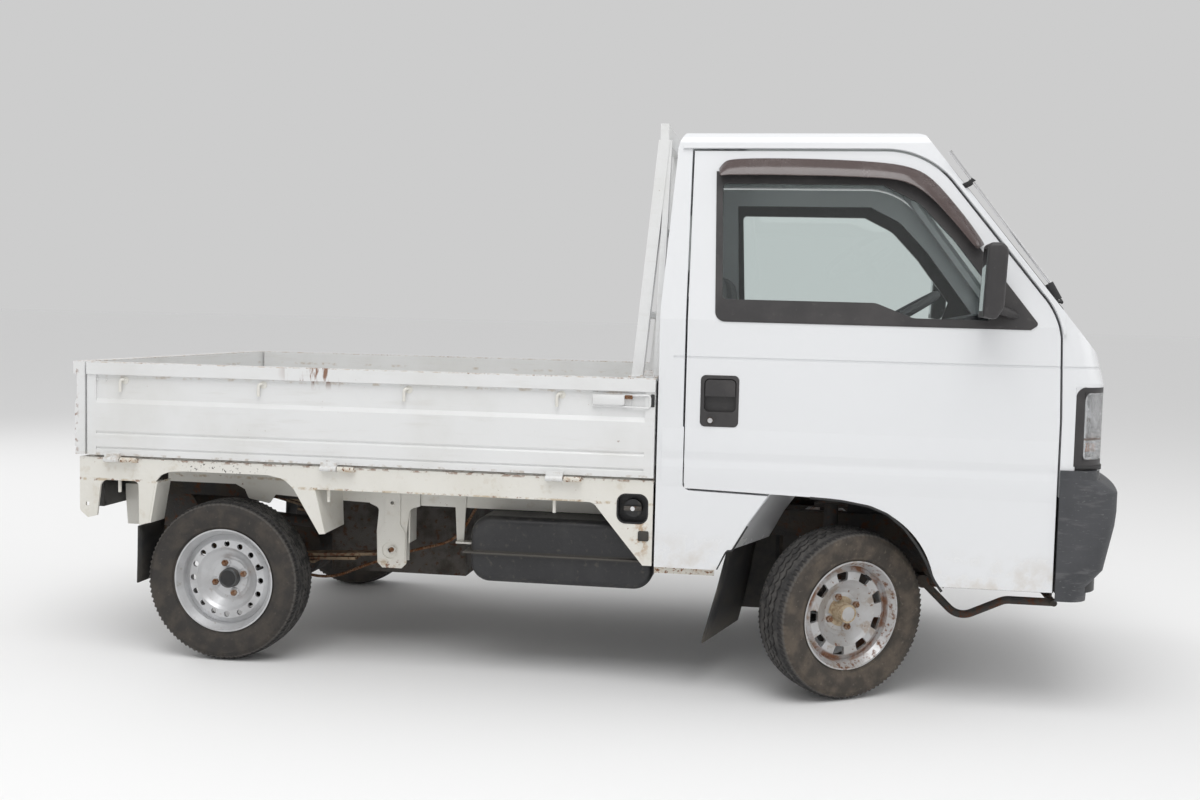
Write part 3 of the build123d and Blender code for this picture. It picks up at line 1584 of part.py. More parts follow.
# Mud flaps behind all four wheels; the front ones slant forward towards the middle, like the arch
FLAPS = (  # (x, z) rows of the outer edge, outer Y, inner Y, slant of the inner edge
    (((466, 436), (440, 318)), 634, 400, 63),
    (((440, 318), (399, 157)), 680, 400, 75),
    (((-1405, 422), (-1408, 239)), 684, 516, 0),
)
with BuildPart() as right_flaps:
    for rows, outer_y, inner_y, slant in FLAPS:
        add(slanted_sheet(rows, outer_y, inner_y, slant))
with BuildPart() as mud_flaps:
    add(right_flaps.part)
    mirror(right_flaps.part, about=Plane.XZ)
save(mud_flaps.part, "mud_flaps")
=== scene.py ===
import json
from math import acos, cos, exp, pi, radians, sin, sqrt

import bmesh
import bpy
from mathutils import Matrix, Vector


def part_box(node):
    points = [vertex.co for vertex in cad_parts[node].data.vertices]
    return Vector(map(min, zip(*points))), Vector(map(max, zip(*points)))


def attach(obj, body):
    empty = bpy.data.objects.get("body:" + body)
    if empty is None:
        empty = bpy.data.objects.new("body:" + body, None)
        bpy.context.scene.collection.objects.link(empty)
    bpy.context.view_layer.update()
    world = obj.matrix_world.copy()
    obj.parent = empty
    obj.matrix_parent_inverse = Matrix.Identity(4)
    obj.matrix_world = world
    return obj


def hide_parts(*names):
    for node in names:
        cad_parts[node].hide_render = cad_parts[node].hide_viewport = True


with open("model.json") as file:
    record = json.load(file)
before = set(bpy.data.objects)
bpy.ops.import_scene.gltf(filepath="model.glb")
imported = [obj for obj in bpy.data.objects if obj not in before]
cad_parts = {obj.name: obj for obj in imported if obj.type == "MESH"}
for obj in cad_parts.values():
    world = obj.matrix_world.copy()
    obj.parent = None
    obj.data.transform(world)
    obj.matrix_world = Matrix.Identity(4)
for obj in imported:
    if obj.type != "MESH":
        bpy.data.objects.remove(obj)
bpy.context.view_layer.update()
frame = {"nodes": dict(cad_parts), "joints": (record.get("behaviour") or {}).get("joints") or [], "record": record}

# Looks of a kei truck with a drop-side bed.
# The frame is in metres: X forward, Y to the left, Z up.
# The truck's sizes and places are in millimetres here, and MM turns them into metres.

MM = 0.001
nodes = frame["nodes"]
joints = {joint["name"]: joint for joint in frame["joints"]}
SIDES = (("right", -1), ("left", 1))

# The cab's side: upright to the belt, then leaning inwards
CAB_HALF_WIDTH = 690
BELT_Z = 1120
SIDE_LEAN = 85 / 530

# Camera, solved from the photograph: its place in metres, its angles in radians,
# its lens and sensor in millimetres
CAMERA_PLACE = (0.6772, -4.5133, 1.1238)
CAMERA_YAW = 0.1568041
CAMERA_PITCH = 0.0644922
CAMERA_ROLL = 0.0233265
CAMERA_LENS = 39.0
SENSOR_WIDTH = 36
CLIP_END = 200


def make_camera():
    camera = bpy.data.objects.new("camera", bpy.data.cameras.new("camera"))
    bpy.context.scene.collection.objects.link(camera)
    yaw = Matrix.Rotation(CAMERA_YAW, 4, "Z")
    pitch = Matrix.Rotation(pi / 2 - CAMERA_PITCH, 4, "X")
    roll = Matrix.Rotation(CAMERA_ROLL, 4, "Z")
    camera.matrix_world = Matrix.Translation(CAMERA_PLACE) @ yaw @ pitch @ roll
    camera.data.sensor_width = SENSOR_WIDTH
    camera.data.lens = CAMERA_LENS
    camera.data.clip_end = CLIP_END
    bpy.context.scene.camera = camera


# Materials

COAT_ROUGHNESS = 0.08
NOISE_ROUGHNESS = 0.6
RING_SOFT = 3
NEAR_CORE = 0.3

# Sockets of a Mix node, by place, because several have the same name
MIX_FACTOR = 0
MIX_FLOAT_A = 2
MIX_FLOAT_B = 3
MIX_COLOUR_A = 6
MIX_COLOUR_B = 7
MIX_COLOUR_OUT = 2


class Nodes:
    """The node tree of a material or a world."""

    def __init__(self, owner):
        owner.use_nodes = True
        self.tree = owner.node_tree

    def new(self, kind, **settings):
        """A node of a kind, with settings such as its operation."""
        node = self.tree.nodes.new("ShaderNode" + kind)
        for setting, value in settings.items():
            setattr(node, setting, value)
        return node

    def put(self, node, socket, value):
        """Link a socket into a node's socket, or set a plain value on it."""
        if isinstance(value, bpy.types.NodeSocket):
            self.tree.links.new(value, node.inputs[socket])
        else:
            node.inputs[socket].default_value = value

    def math(self, operation, a, b):
        node = self.new("Math", operation=operation, use_clamp=True)
        self.put(node, 0, a)
        self.put(node, 1, b)
        return node.outputs[0]


class Finish(Nodes):
    """A node material: a base colour, layers mixed over it by masks, and bumps."""

    def __init__(self, name, colour, roughness, metallic=0.0, coat=0.0):
        self.material = bpy.data.materials.new(name)
        super().__init__(self.material)
        self.shader = self.tree.nodes["Principled BSDF"]
        self.put(self.shader, "Metallic", metallic)
        self.put(self.shader, "Coat Weight", coat)
        self.put(self.shader, "Coat Roughness", COAT_ROUGHNESS)
        self.colour = (*colour, 1)
        self.rough = roughness
        self.normal = None
        self.done()
        self.place = self.new("TexCoord").outputs["Object"]

    def vector(self, operation, a, b=(0, 0, 0), output="Vector"):
        node = self.new("VectorMath", operation=operation)
        self.put(node, 0, a)
        self.put(node, 1, b)
        return node.outputs[output]

    def ramp(self, value, start, end):
        """0 at start and 1 at end, either way round."""
        node = self.new("MapRange", interpolation_type="SMOOTHSTEP")
        self.put(node, "Value", value)
        self.put(node, "From Min", start)
        self.put(node, "From Max", end)
        return node.outputs[0]

    def noise(self, scale, start, end, stretch=(1, 1, 1), detail=5.0):
        """Patches from noise; scale is in patches a metre."""
        placed = self.new("Mapping")
        self.put(placed, "Scale", stretch)
        self.put(placed, "Vector", self.place)
        node = self.new("TexNoise")
        self.put(node, "Scale", scale)
        self.put(node, "Detail", detail)
        self.put(node, "Roughness", NOISE_ROUGHNESS)
        self.put(node, "Vector", placed.outputs[0])
        return self.ramp(node.outputs["Fac"], start, end)

    def along(self, axis, start, end):
        """A ramp along X, Y or Z of the truck, in millimetres."""
        node = self.new("SeparateXYZ")
        self.put(node, "Vector", self.place)
        return self.ramp(node.outputs[axis], start * MM, end * MM)

    def band(self, axis, start, full_from, full_to, end):
        """1 between two places along an axis, falling to 0 on both sides, in millimetres."""
        return self.both(self.along(axis, start, full_from), self.along(axis, end, full_to))

    def near(self, point, radius, stretch=(1, 1, 1)):
        """1 near a point, falling to 0 at the radius, in millimetres."""
        away = self.vector("SUBTRACT", self.place, Vector(point) * MM)
        length = self.vector("LENGTH", self.vector("MULTIPLY", away, stretch), output="Value")
        return self.ramp(length, radius * MM, radius * MM * NEAR_CORE)

    def ring(self, point, inner, outer):
        """1 between two distances from a point, in millimetres."""
        away = self.vector("DISTANCE", self.place, Vector(point) * MM, "Value")
        inside = self.ramp(away, (inner - RING_SOFT) * MM, (inner + RING_SOFT) * MM)
        outside = self.ramp(away, (outer + RING_SOFT) * MM, (outer - RING_SOFT) * MM)
        return self.both(inside, outside)

    def both(self, a, b):
        return self.math("MULTIPLY", a, b)

    def either(self, a, b):
        return self.math("MAXIMUM", a, b)

    def layer(self, mask, colour, roughness=None, amount=1.0):
        """Mix a colour, and a roughness, over what is there."""
        if amount != 1.0:
            mask = self.both(mask, amount)
        mix = self.new("Mix", data_type="RGBA")
        self.put(mix, MIX_FACTOR, mask)
        self.put(mix, MIX_COLOUR_A, self.colour)
        self.put(mix, MIX_COLOUR_B, (*colour, 1))
        self.colour = mix.outputs[MIX_COLOUR_OUT]
        if roughness is not None:
            blend = self.new("Mix")
            self.put(blend, MIX_FACTOR, mask)
            self.put(blend, MIX_FLOAT_A, self.rough)
            self.put(blend, MIX_FLOAT_B, roughness)
            self.rough = blend.outputs[0]

    def bump(self, height, depth):
        """A bump as deep as the given millimetres."""
        node = self.new("Bump")
        self.put(node, "Distance", depth * MM)
        self.put(node, "Strength", 1)
        self.put(node, "Height", height)
        if self.normal:
            self.put(node, "Normal", self.normal)
        self.normal = node.outputs[0]

    def done(self):
        """Give the shader what the finish has so far."""
        self.put(self.shader, "Base Color", self.colour)
        self.put(self.shader, "Roughness", self.rough)
        if self.normal:
            self.put(self.shader, "Normal", self.normal)
        return self.material


MATERIALS = {}
RUST = (0.20, 0.075, 0.025)
DARK_RUST = (0.09, 0.035, 0.015)
CAB_WHITE = (0.79, 0.80, 0.815)
# Below this height the nose is painted near black, as painted shade behind the bumper.
COVER_Z = 717


def base(colour, roughness, **more):
    """Start a finish from its base; the function below this lays the rest over it."""

    def make(lay):
        f = Finish(lay.__name__, colour, roughness, **more)
        lay(f)
        MATERIALS[lay.__name__] = f.done()
        return lay

    return make


@base(CAB_WHITE, 0.22, coat=0.35)
def cab_paint(f):
    f.layer(f.noise(1.5, 0.2, 0.8, detail=0), (0.765, 0.775, 0.79), 0.26)
    low_dirt = f.both(f.along("Z", 520, 350), f.noise(14, 0.42, 0.72))
    f.layer(low_dirt, (0.52, 0.45, 0.36), 0.6, 0.55)
    edge = f.both(f.along("Z", 374, 352), f.noise(55, 0.54, 0.68))
    f.layer(edge, RUST, 0.85, 0.6)
    f.layer(f.noise(220, 0.74, 0.78), (0.33, 0.29, 0.25), 0.6, 0.35)
    f.bump(f.noise(2.5, 0.0, 1.0, detail=2), 1.2)


@base(CAB_WHITE, 0.22, coat=0.35)
def nose_paint(f):
    """The cab's paint, with painted shade: near black where the bumper covers the nose, so the gap behind the
    bumper reads dark.
    """
    cab_paint(f)
    # painted shade behind the bumper
    f.layer(f.along("Z", COVER_Z, COVER_Z - 2), (0.02, 0.02, 0.021), 0.8)


@base((0.76, 0.765, 0.765), 0.36, coat=0.15)
def bed_paint(f):
    f.layer(f.noise(3, 0.4, 0.75), (0.70, 0.70, 0.685), 0.45)
    f.layer(f.noise(16, 0.52, 0.78, (0.3, 0.3, 2.5)), (0.60, 0.585, 0.55), 0.5, 0.35)
    rail_top = f.band("Z", 938, 943, 946, 950)
    rail_foot = f.band("Z", 890, 896, 899, 905)
    f.layer(f.both(rail_foot, f.noise(26, 0.5, 0.68)), (0.46, 0.36, 0.26), 0.6, 0.6)
    f.layer(f.both(rail_top, f.noise(55, 0.46, 0.66)), (0.46, 0.34, 0.23), 0.7, 0.7)
    f.layer(f.both(f.both(rail_top, f.noise(7, 0.42, 0.6)), f.noise(120, 0.52, 0.62)), RUST, 0.85, 0.9)
    stain = f.near((-812, -700, 930), 105, (0.75, 1, 1.7))
    f.layer(f.both(stain, f.noise(30, 0.52, 0.60, (1, 1, 0.22))), RUST, 0.85, 0.9)
    f.layer(f.both(f.noise(6, 0.52, 0.7), f.noise(95, 0.68, 0.70)), RUST, 0.85, 0.8)
    sides = f.either(f.along("Y", -684, -692), f.along("Y", 684, 692))
    end = f.both(f.both(f.along("X", -1600, -1618), sides), f.noise(60, 0.54, 0.62))
    f.layer(end, RUST, 0.85, 0.8)
    foot = f.both(f.along("Z", 656, 650), f.noise(40, 0.48, 0.66))
    f.layer(foot, (0.40, 0.33, 0.25), 0.7, 0.6)
    f.bump(f.noise(5, 0.3, 0.7, detail=2), 1.6)
    f.bump(f.noise(160, 0.55, 0.75), 0.15)


@base((0.56, 0.56, 0.54), 0.55)
def deck_paint(f):
    f.layer(f.noise(4, 0.42, 0.66), (0.42, 0.41, 0.38), 0.65)
    f.layer(f.noise(30, 0.55, 0.65, (0.25, 1, 1)), (0.33, 0.31, 0.28), 0.6, 0.8)
    f.layer(f.both(f.noise(3, 0.5, 0.65), f.noise(30, 0.54, 0.62)), RUST, 0.85, 0.9)
    f.bump(f.noise(35, 0.5, 0.7), 0.5)


@base((0.745, 0.73, 0.68), 0.38, coat=0.1)
def beam_paint(f):
    f.layer(f.noise(4, 0.4, 0.7), (0.70, 0.68, 0.62), 0.45)
    f.layer(f.noise(24, 0.56, 0.72), (0.55, 0.49, 0.39), 0.5, 0.4)
    speckle = f.near((-1130, -690, 618), 150, (0.75, 1, 5.5))
    f.layer(f.both(speckle, f.noise(120, 0.60, 0.63)), (0.05, 0.045, 0.04), 0.7)
    foot = f.either(f.along("Z", 332, 312), f.band("Z", 560, 566, 568, 574))
    f.layer(f.both(foot, f.noise(38, 0.46, 0.64)), (0.47, 0.36, 0.22), 0.75, 0.75)
    f.layer(f.both(foot, f.noise(60, 0.58, 0.66)), RUST, 0.85, 0.8)
    head = f.band("Z", 629, 635, 641, 646)
    f.layer(f.both(head, f.noise(42, 0.50, 0.60)), RUST, 0.85, 0.7)
    front = f.both(f.near((205, -690, 470), 70, (1.6, 1, 0.8)), f.noise(26, 0.5, 0.6))
    f.layer(front, (0.42, 0.27, 0.14), 0.8, 0.8)
    f.layer(f.noise(75, 0.71, 0.73), RUST, 0.85, 0.8)
    f.bump(f.noise(30, 0.4, 0.7), 0.5)


@base((0.70, 0.67, 0.60), 0.5)
def hinge_paint(f):
    f.layer(f.noise(34, 0.46, 0.66), (0.50, 0.36, 0.24), 0.8, 0.8)
    f.layer(f.noise(80, 0.56, 0.62), RUST, 0.9)
    f.bump(f.noise(120, 0.4, 0.6), 0.4)


@base((0.035, 0.032, 0.03), 0.7)
def frame_paint(f):
    f.layer(f.noise(9, 0.4, 0.66), (0.07, 0.055, 0.042), 0.85)
    f.layer(f.noise(40, 0.52, 0.68), DARK_RUST, 0.9)
    f.bump(f.noise(90, 0.4, 0.7), 0.6)


@base((0.12, 0.085, 0.055), 0.8)
def spring_steel(f):
    f.layer(f.noise(30, 0.4, 0.6, (0.3, 1, 1)), (0.22, 0.16, 0.10), 0.85)
    f.layer(f.noise(60, 0.5, 0.6), DARK_RUST, 0.9)
    f.bump(f.noise(150, 0.4, 0.6), 0.5)


@base((0.018, 0.018, 0.020), 0.34)
def tank_black(f):
    f.layer(f.noise(6, 0.4, 0.7), (0.034, 0.034, 0.035), 0.45)
    f.layer(f.band("Z", 376, 386, 388, 398), (0.11, 0.10, 0.085), 0.8, 0.6)
    f.layer(f.noise(50, 0.56, 0.72), (0.10, 0.09, 0.075), 0.8, 0.5)
    f.bump(f.noise(70, 0.4, 0.7), 0.3)


@base((0.042, 0.044, 0.049), 0.5)
def bumper_plastic(f):
    f.layer(f.noise(5, 0.4, 0.65), (0.062, 0.064, 0.070), 0.6)
    f.layer(f.noise(22, 0.56, 0.68, (0.5, 0.5, 2.2)), (0.12, 0.12, 0.125), 0.7, 0.6)
    f.layer(f.noise(70, 0.62, 0.68, (1, 1, 3)), (0.19, 0.19, 0.19), 0.8, 0.5)
    f.bump(f.noise(1100, 0.3, 0.7, detail=2), 0.08)
    f.bump(f.noise(60, 0.5, 0.7, (1, 1, 3)), 0.25)


@base((0.038, 0.036, 0.037), 0.42)
def trim_plastic(f):
    f.layer(f.noise(8, 0.4, 0.7), (0.056, 0.052, 0.052), 0.52)
    f.layer(f.noise(60, 0.6, 0.72), (0.09, 0.085, 0.08), 0.6, 0.4)
    f.bump(f.noise(1300, 0.3, 0.7, detail=2), 0.05)


@base((0.10, 0.10, 0.11), 0.62)
def dash_plastic(f):
    f.layer(f.noise(10, 0.4, 0.7), (0.13, 0.13, 0.135), 0.7)
    f.bump(f.noise(1500, 0.35, 0.65, detail=2), 0.1)


@base((0.11, 0.11, 0.12), 0.92)
def seat_cloth(f):
    f.put(f.shader, "Sheen Weight", 0.35)
    f.layer(f.noise(600, 0.4, 0.6, (1, 4, 1)), (0.18, 0.18, 0.19), 0.95)
    f.layer(f.noise(12, 0.45, 0.7), (0.15, 0.14, 0.14), 0.95, 0.5)
    f.bump(f.noise(900, 0.35, 0.65, (1, 3, 1)), 0.35)


@base((0.90, 0.955, 0.945), 0.0)
def glass(f):
    f.put(f.shader, "Transmission Weight", 1.0)
    f.put(f.shader, "IOR", 1.42)


@base((0.11, 0.075, 0.07), 0.2, coat=0.4)
def visor_tint(f):
    f.put(f.shader, "Transmission Weight", 0.35)
    f.layer(f.noise(9, 0.4, 0.7), (0.15, 0.115, 0.11), 0.3)
    f.bump(f.noise(40, 0.4, 0.7), 0.05)


@base((0.93, 0.94, 0.95), 0.08)
def lamp_clear(f):
    f.put(f.shader, "Transmission Weight", 0.92)
    f.bump(f.noise(90, 0.3, 0.7, (1, 6, 0.2), detail=1), 0.3)


@base((0.025, 0.024, 0.024), 0.3, coat=0.4)
def lamp_red(f):
    lens = f.along("X", -1590, -1592)
    f.layer(lens, (0.42, 0.015, 0.012), 0.15)
    outer = f.either(f.along("Y", 553, 555), f.along("Y", -553, -555))
    inner = f.band("Y", -455, -453, 453, 455)
    f.layer(f.both(lens, outer), (0.62, 0.20, 0.02), 0.15)
    f.layer(f.both(lens, inner), (0.52, 0.52, 0.50), 0.15)
    f.layer(f.both(lens, f.noise(14, 0.45, 0.7)), (0.20, 0.05, 0.035), 0.25, 0.3)
    f.bump(f.noise(160, 0.3, 0.7, (1, 6, 1), detail=1), 0.3)


@base((0.028, 0.026, 0.025), 0.8)
def tyre_rubber(f):
    f.layer(f.noise(7, 0.4, 0.66), (0.062, 0.053, 0.045), 0.9)
    f.layer(f.noise(28, 0.5, 0.68), (0.10, 0.082, 0.066), 0.95, 0.7)
    f.bump(f.noise(420, 0.4, 0.7), 0.12)


@base((0.56, 0.565, 0.575), 0.33, metallic=0.55, coat=0.2)
def wheel_silver(f):
    f.layer(f.noise(10, 0.42, 0.7), (0.47, 0.47, 0.475), 0.42)
    f.layer(f.noise(45, 0.60, 0.72), (0.34, 0.31, 0.28), 0.6, 0.6)
    f.bump(f.noise(300, 0.4, 0.7), 0.05)


@base((0.52, 0.52, 0.525), 0.36, metallic=0.5, coat=0.15)
def wheel_worn(f):
    f.layer(f.noise(9, 0.42, 0.68), (0.45, 0.44, 0.43), 0.45)
    f.layer(f.noise(26, 0.54, 0.66), (0.36, 0.29, 0.23), 0.65, 0.7)
    f.layer(f.noise(60, 0.62, 0.68), RUST, 0.85, 0.8)
    for side in ("right", "left"):
        centre = Vector(joints[f"front_{side}_roll"]["pos_m"]) / MM
        ring = f.both(f.ring(centre, 132, 150), f.noise(18, 0.40, 0.62))
        f.layer(ring, (0.27, 0.12, 0.055), 0.85, 0.9)
        lip = f.both(f.ring(centre, 152, 170), f.noise(60, 0.50, 0.62))
        f.layer(lip, RUST, 0.85, 0.8)
    f.bump(f.noise(200, 0.4, 0.7), 0.1)


# Black rubber of the flaps and the drain pad; the same finish also colours the dark sheets that are painted shade
# under the cab.
@base((0.024, 0.024, 0.025), 0.72)
def flap_rubber(f):
    f.layer(f.noise(10, 0.4, 0.65), (0.06, 0.055, 0.048), 0.88)
    f.layer(f.along("Z", 240, 150), (0.14, 0.125, 0.105), 0.92, 0.6)
    f.bump(f.noise(200, 0.4, 0.7), 0.3)


@base((0.11, 0.10, 0.09), 0.7, metallic=0.3)
def cast_metal(f):
    f.layer(f.noise(12, 0.42, 0.66), (0.06, 0.05, 0.042), 0.85)
    f.layer(f.noise(50, 0.55, 0.66), DARK_RUST, 0.9, 0.8)
    f.bump(f.noise(260, 0.35, 0.7), 0.5)


@base((0.26, 0.16, 0.10), 0.8, metallic=0.2)
def rusty_metal(f):
    f.layer(f.noise(90, 0.42, 0.6), RUST, 0.9)
    f.layer(f.noise(200, 0.5, 0.6), DARK_RUST, 0.95)
    f.bump(f.noise(500, 0.4, 0.6), 0.3)


@base((0.72, 0.72, 0.73), 0.16, metallic=1.0)
def worn_chrome(f):
    f.layer(f.noise(120, 0.55, 0.7), (0.42, 0.40, 0.38), 0.4, 0.6)


@base((0.47, 0.38, 0.26), 0.55, metallic=0.15)
def hub_beige(f):
    f.layer(f.noise(60, 0.42, 0.62), (0.33, 0.24, 0.15), 0.75)
    f.layer(f.noise(150, 0.55, 0.65), (0.60, 0.53, 0.41), 0.6, 0.6)
    f.bump(f.noise(300, 0.4, 0.6), 0.2)


@base((0.36, 0.26, 0.19), 0.5, metallic=0.4)
def nut_brown(f):
    f.layer(f.noise(120, 0.45, 0.62), (0.24, 0.13, 0.08), 0.75)
    f.bump(f.noise(300, 0.4, 0.6), 0.2)


@base((0.075, 0.078, 0.08), 0.35, metallic=0.3)
def hub_dark(f):
    f.layer(f.noise(60, 0.45, 0.65), (0.11, 0.10, 0.09), 0.6)


@base((0.02, 0.02, 0.021), 0.6)
def seal_rubber(f):
    f.layer(f.noise(40, 0.45, 0.65), (0.035, 0.034, 0.034), 0.75)


@base((0.035, 0.036, 0.038), 0.7)
def liner_plastic(f):
    f.layer(f.noise(9, 0.4, 0.7), (0.06, 0.058, 0.055), 0.8)


@base((0.80, 0.80, 0.81), 0.18, metallic=0.9)
def lamp_pan(f):
    f.layer(f.noise(20, 0.5, 0.7), (0.62, 0.61, 0.60), 0.3, 0.6)


@base((0.80, 0.25, 0.03), 0.25)
def amber_bulb(f):
    """The bulb of the turn lamp."""


@base((0.34, 0.36, 0.37), 0.03, metallic=1.0)
def mirror_glass(f):
    f.layer(f.noise(30, 0.6, 0.75), (0.30, 0.31, 0.32), 0.08, 0.5)


SLOT_MATERIALS = {  # the slots whose finish has another name
    "black_steel": "tank_black",
    "wheel_steel": "wheel_silver",
}
NODE_MATERIALS = {
    "nose_panel": "nose_paint",
    "bed_deck": "deck_paint",
    "gate_hinges": "hinge_paint",
    "leaf_springs": "spring_steel",
    "front_right_rim": "wheel_worn",
    "front_left_rim": "wheel_worn",
}


def paint_nodes():
    """Each node takes its own finish, or else that of its slot."""
    for row in frame["record"]["subparts"]:
        name = row["node"]
        slot = row["material_slot"]
        chosen = NODE_MATERIALS.get(name) or SLOT_MATERIALS.get(slot, slot)
        nodes[name].data.materials.clear()
        nodes[name].data.materials.append(MATERIALS[chosen])


# Pieces

SHARP_DEG = 35
SHEET_SHARP_DEG = 60
BEND_STEPS = 5
ROD_RESOLUTION = 3


def skin_y(z):
    """How far out the cab's side is at a height."""
    return CAB_HALF_WIDTH - SIDE_LEAN * max(0, z - BELT_Z)


def on_side(points, side):
    """Points given for the left side, put on either side."""
    return [(x, side * y, z) for x, y, z in points]


def grid_faces(rows, columns, closed=False):
    """Quads over points listed row by row; a closed grid joins its last row to its first."""
    faces = []
    for row in range(rows if closed else rows - 1):
        here = row * columns
        there = (row + 1) % rows * columns
        for k in range(columns - 1):
            faces.append((here + k, here + k + 1, there + k + 1, there + k))
    return faces


def ring_faces(count, here=0):
    """Quads from a ring of points, which begins at a place in the list, to the next ring."""
    there = here + count
    return [(here + k, here + (k + 1) % count, there + (k + 1) % count, there + k) for k in range(count)]


def shade(mesh, sharp_deg=SHARP_DEG):
    """Smooth faces, with the edges over an angle kept sharp."""
    mesh.polygons.foreach_set("use_smooth", [True] * len(mesh.polygons))
    mesh.set_sharp_from_angle(angle=radians(sharp_deg))


def new_mesh(name, points, faces, sharp_deg=SHARP_DEG):
    """A mesh from points in millimetres."""
    mesh = bpy.data.meshes.new(name)
    mesh.from_pydata([Vector(point) * MM for point in points], [], faces)
    shade(mesh, sharp_deg)
    mesh.update()
    return mesh


def change_mesh(mesh, change):
    """Run a change on a mesh that is already made."""
    shape = bmesh.new()
    shape.from_mesh(mesh)
    change(shape)
    shape.to_mesh(mesh)
    shape.free()


def add_piece(name, data, material, body="chassis", matrix=None):
    """Put a mesh or a curve in the scene, where it moves with a body."""
    piece = bpy.data.objects.new(name, data)
    bpy.context.scene.collection.objects.link(piece)
    data.materials.append(MATERIALS[material])
    if matrix is not None:
        piece.matrix_world = matrix
    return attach(piece, body)


def thicken(piece, wall_mm):
    """Give a sheet its wall, half to each side."""
    wall = piece.modifiers.new("wall", "SOLIDIFY")
    wall.thickness = wall_mm * MM
    wall.offset = 0


def sheet(name, rows, wall_mm, material, body="chassis", finer=0):
    """A thin sheet through rows of points."""
    points = [point for row in rows for point in row]
    mesh = new_mesh(name, points, grid_faces(len(rows), len(rows[0])), SHEET_SHARP_DEG)
    piece = add_piece(name, mesh, material, body)
    if finer:
        smooth = piece.modifiers.new("smooth", "SUBSURF")
        smooth.levels = smooth.render_levels = finer
    thicken(piece, wall_mm)
    return piece


def block(name, low, high, material, body="chassis", bevel=1.5):
    """A box between two corners, with rounded edges."""
    shape = bmesh.new()
    bmesh.ops.create_cube(shape, size=1)
    middle = (Vector(low) + Vector(high)) / 2
    size = Vector(high) - Vector(low)
    for vertex in shape.verts:
        vertex.co = middle + Vector(a * b for a, b in zip(vertex.co, size))
    if bevel:
        bmesh.ops.bevel(
            shape, geom=shape.edges[:], offset=bevel, segments=2, affect="EDGES", profile=0.5
        )
    bmesh.ops.scale(shape, vec=(MM, MM, MM), verts=shape.verts)
    mesh = bpy.data.meshes.new(name)
    shape.to_mesh(mesh)
    shape.free()
    shade(mesh)
    return add_piece(name, mesh, material, body)


def lathe(name, profile, material, body="chassis", matrix=None, steps=48):
    """A shape turned about local X, from (along, radius) points in millimetres."""
    points = []
    for turn in range(steps):
        angle = 2 * pi * turn / steps
        points += [(x, r * cos(angle), r * sin(angle)) for x, r in profile]
    mesh = new_mesh(name, points, grid_faces(steps, len(profile), closed=True))
    change_mesh(mesh, lambda shape: bmesh.ops.remove_doubles(shape, verts=shape.verts, dist=1e-6))
    mesh.set_sharp_from_angle(angle=radians(SHARP_DEG))
    return add_piece(name, mesh, material, body, matrix)


def rounded_path(points, bend):
    """The path with each corner turned into a short curve that starts at the bend distance."""
    points = [Vector(point) for point in points]
    path = [points[0]]
    for before, corner, after in zip(points, points[1:], points[2:]):
        start = corner + (before - corner).normalized() * min(bend, (before - corner).length / 2)
        end = corner + (after - corner).normalized() * min(bend, (after - corner).length / 2)
        for step in range(BEND_STEPS + 1):
            t = step / BEND_STEPS
            path.append(start * (1 - t) ** 2 + corner * 2 * t * (1 - t) + end * t * t)
    path.append(points[-1])
    return path


def rod(name, points, radius, material, body="chassis", bend=8, matrix=None):
    """A round rod along points in millimetres."""
    path = rounded_path(points, bend)
    curve = bpy.data.curves.new(name, "CURVE")
    curve.dimensions = "3D"
    curve.bevel_depth = radius * MM
    curve.bevel_resolution = ROD_RESOLUTION
    curve.use_fill_caps = True
    spline = curve.splines.new("POLY")
    spline.points.add(len(path) - 1)
    for point, place in zip(spline.points, path):
        point.co = (*(place * MM), 1)
    spline.use_smooth = True
    return add_piece(name, curve, material, body, matrix)


# Wheels
# A wheel's own frame: X outboard along the axle, Y ahead on the right side, Z up.

TYRE_LOW, TYRE_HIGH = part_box("rear_right_tyre")
TYRE_R = (TYRE_HIGH.z - TYRE_LOW.z) / 2 / MM
WHEELS = (  # name, side, angle of the first nut
    ("front_right", -1, 22),
    ("front_left", 1, 22),
    ("rear_right", -1, 18),
    ("rear_left", 1, 18),
)


def wheel_matrix(name, side):
    joint = joints[name + "_roll"]
    outboard = Vector(joint["axis"]).normalized() * side
    up = (Vector((0, 0, 1)) - outboard * outboard.z).normalized()
    matrix = Matrix((outboard, up.cross(outboard), up)).transposed().to_4x4()
    matrix.translation = Vector(joint["pos_m"])
    return matrix


TREAD_PITCHES = 48
TREAD_STEPS = (  # share of a pitch, share of a notch's depth
    (0, 0), (0.05, 0), (0.20, 1), (0.25, 1), (0.48, 0), (0.53, 0), (0.66, 0.8), (0.71, 0.8),
)
TREAD_HALF_WIDTH = 63
TREAD_INSET = 0.4
CROWN_DROP = 6
CROWN_POWER = 2.6
GROOVE_DEPTH = 6
NOTCH_DEPTH = 5
ZIGZAG = 4
TREAD_SHARP_DEG = 30
SIDEWALL = (  # outboard, radius, share of a notch
    (50, 159, 0), (53, 166, 0), (58, 172, 0), (60, 173, 0), (61.5, 172.5, 0), (64, 178, 0),
    (68.5, 190, 0), (71.4, 203, 0), (72.3, 214, 0), (71.9, 226, 0), (72.4, 228, 0),
    (72.4, 230.5, 0), (71.4, 232.5, 0.05), (70.6, 235.5, 0.4), (69.4, 239.5, 0.8), (66.5, 245, 1),
)
TREAD = (  # outboard, share of a groove, share of a notch, share of the zigzag
    (62, 0, 1, 0), (56, 0, 1, 0), (47, 0, 1, 0), (44, 0, 0, 0), (34, 0, 0, 0.4),
    (26, 0, 0.5, 1), (24.6, 1, 0, 1), (19.4, 1, 0, 1), (18, 0, 0.5, 1), (11, 0, 0, 0),
    (3.8, 0, 0.5, -1), (2.4, 1, 0, -1),
)


def tread_radius(x):
    return TYRE_R - TREAD_INSET - CROWN_DROP * (abs(x) / TREAD_HALF_WIDTH) ** CROWN_POWER


